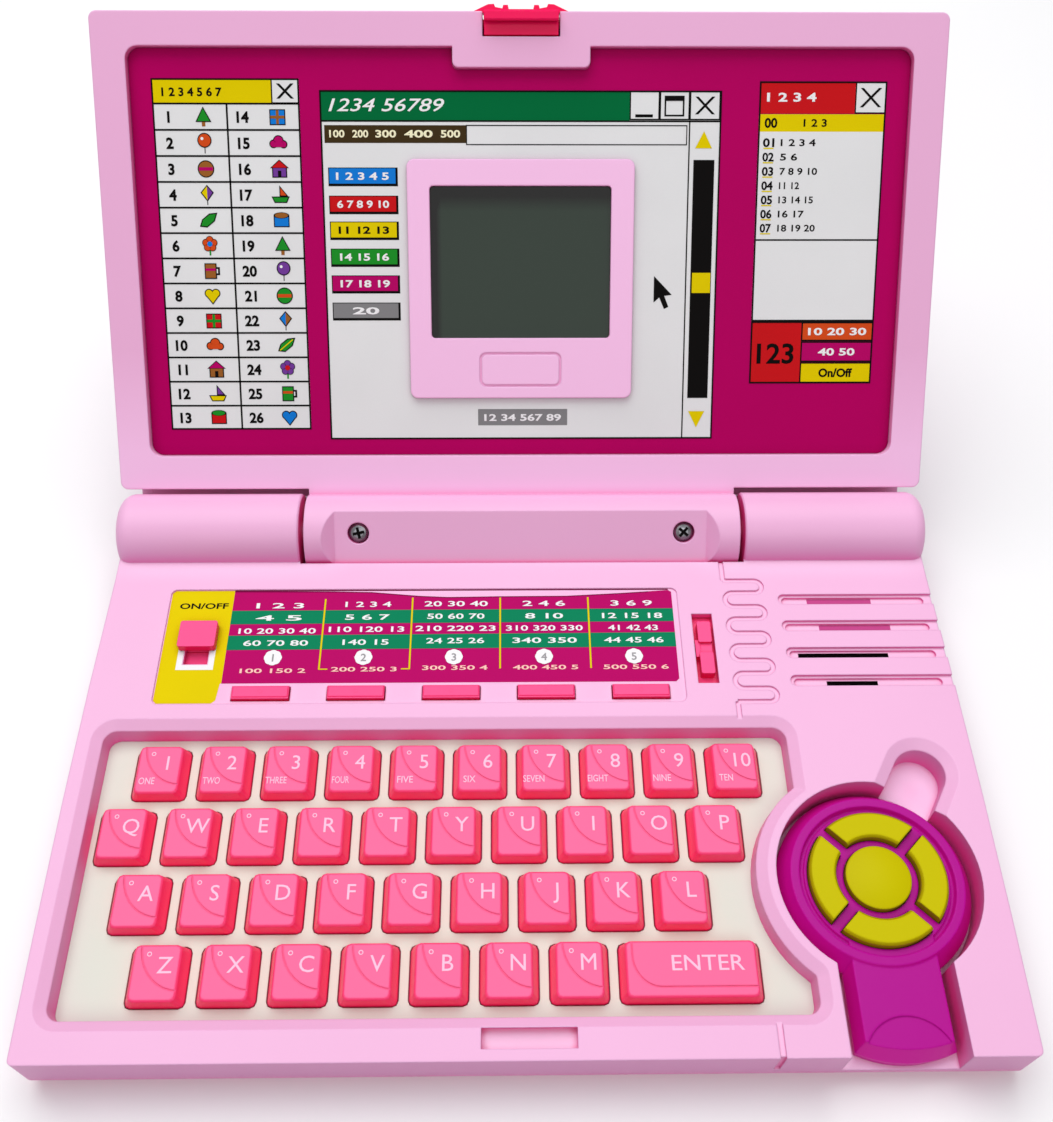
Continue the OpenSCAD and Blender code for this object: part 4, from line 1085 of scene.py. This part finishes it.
def crossed_blades(radius):
    """The tool that cuts the recess of a screw."""
    cross = bmesh.new()
    for turn in (0, 90):
        blade = bmesh.ops.create_cube(cross, size=1)["verts"]
        bmesh.ops.scale(cross, verts=blade, vec=(radius * 1.15, radius * 0.26, radius))
        bmesh.ops.rotate(cross, verts=blade, matrix=Matrix.Rotation(math.radians(turn), 3, "Z"))
        bmesh.ops.translate(cross, verts=blade, vec=(0, 0, radius * 0.78 + 0.01 * turn / 90))
    data = bpy.data.meshes.new("cross_cutter")
    cross.to_mesh(data)
    cross.free()
    return data


def settled(mesh, name):
    """The same mesh with its corners and facets in a fixed order, which a boolean doesn't keep."""
    order = sorted(range(len(mesh.vertices)), key=lambda k: tuple(mesh.vertices[k].co))
    rank = {old: new for new, old in enumerate(order)}
    facets = []
    for facet in mesh.polygons:
        turn = [rank[k] for k in facet.vertices]
        first = turn.index(min(turn))
        facets.append(turn[first:] + turn[:first])
    data = bpy.data.meshes.new(name)
    data.from_pydata([mesh.vertices[k].co for k in order], [], sorted(facets))
    return data


def pan_screw(name, place, radius, body):
    """A cross-recessed screw: the head, cut by the blades, and a black cross of painted shade on the
    recess's floor.
    """
    blank = in_scene(name + "_blank", pan_head(name, radius))
    tool = in_scene("cross_cutter", crossed_blades(radius))
    cut = blank.modifiers.new("cross", "BOOLEAN")
    cut.operation = "DIFFERENCE"
    cut.use_self = True
    cut.object = tool
    made = bpy.data.meshes.new_from_object(blank.evaluated_get(bpy.context.evaluated_depsgraph_get()))
    for thing in (tool, blank):
        bpy.data.objects.remove(thing)
    data = settled(made, name)
    bpy.data.meshes.remove(made)
    data.transform(place)
    data.materials.append(steel_finish.material)
    screw = in_scene(name, data)
    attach(screw, body)
    floor, arm, half = radius * 0.615, radius * 0.56, radius * 0.14
    # A black cross of painted shade on the recess's floor.
    slots = Sheet(name + "_cross_shade", place, floor, step=0.01)
    slots.box(black, (-arm, arm), (-half, half), 1)
    slots.box(black, (-half, half), (-arm, arm), 2)
    slots.finish(body)


hinge_head, case_head = 3.3, 2.2
barrel_y, barrel_floor, case_floor = 1.6, 6.6, 2.75
for name, x, turn in (("hinge_screw_left", -53.0, 12), ("hinge_screw_right", 52.3, 50)):
    spot = Matrix.Translation((x, barrel_y, barrel_floor)) @ Matrix.Rotation(math.radians(turn), 4, "Z")
    pan_screw(name, lid_place @ spot, hinge_head, "lid")
under = {"case_screw_rear_left": (-118, -64), "case_screw_rear_right": (70, -24),
         "case_screw_front_left": (-118, -160.4), "case_screw_front_right": (58, -160.4),
         "battery_door_screw": (0, -22)}
for name, (x, y) in under.items():
    spot = Matrix.Translation((x, y, case_floor)) @ Matrix.Rotation(math.pi, 4, "X")
    pan_screw(name, deck_place @ spot, case_head, "base")
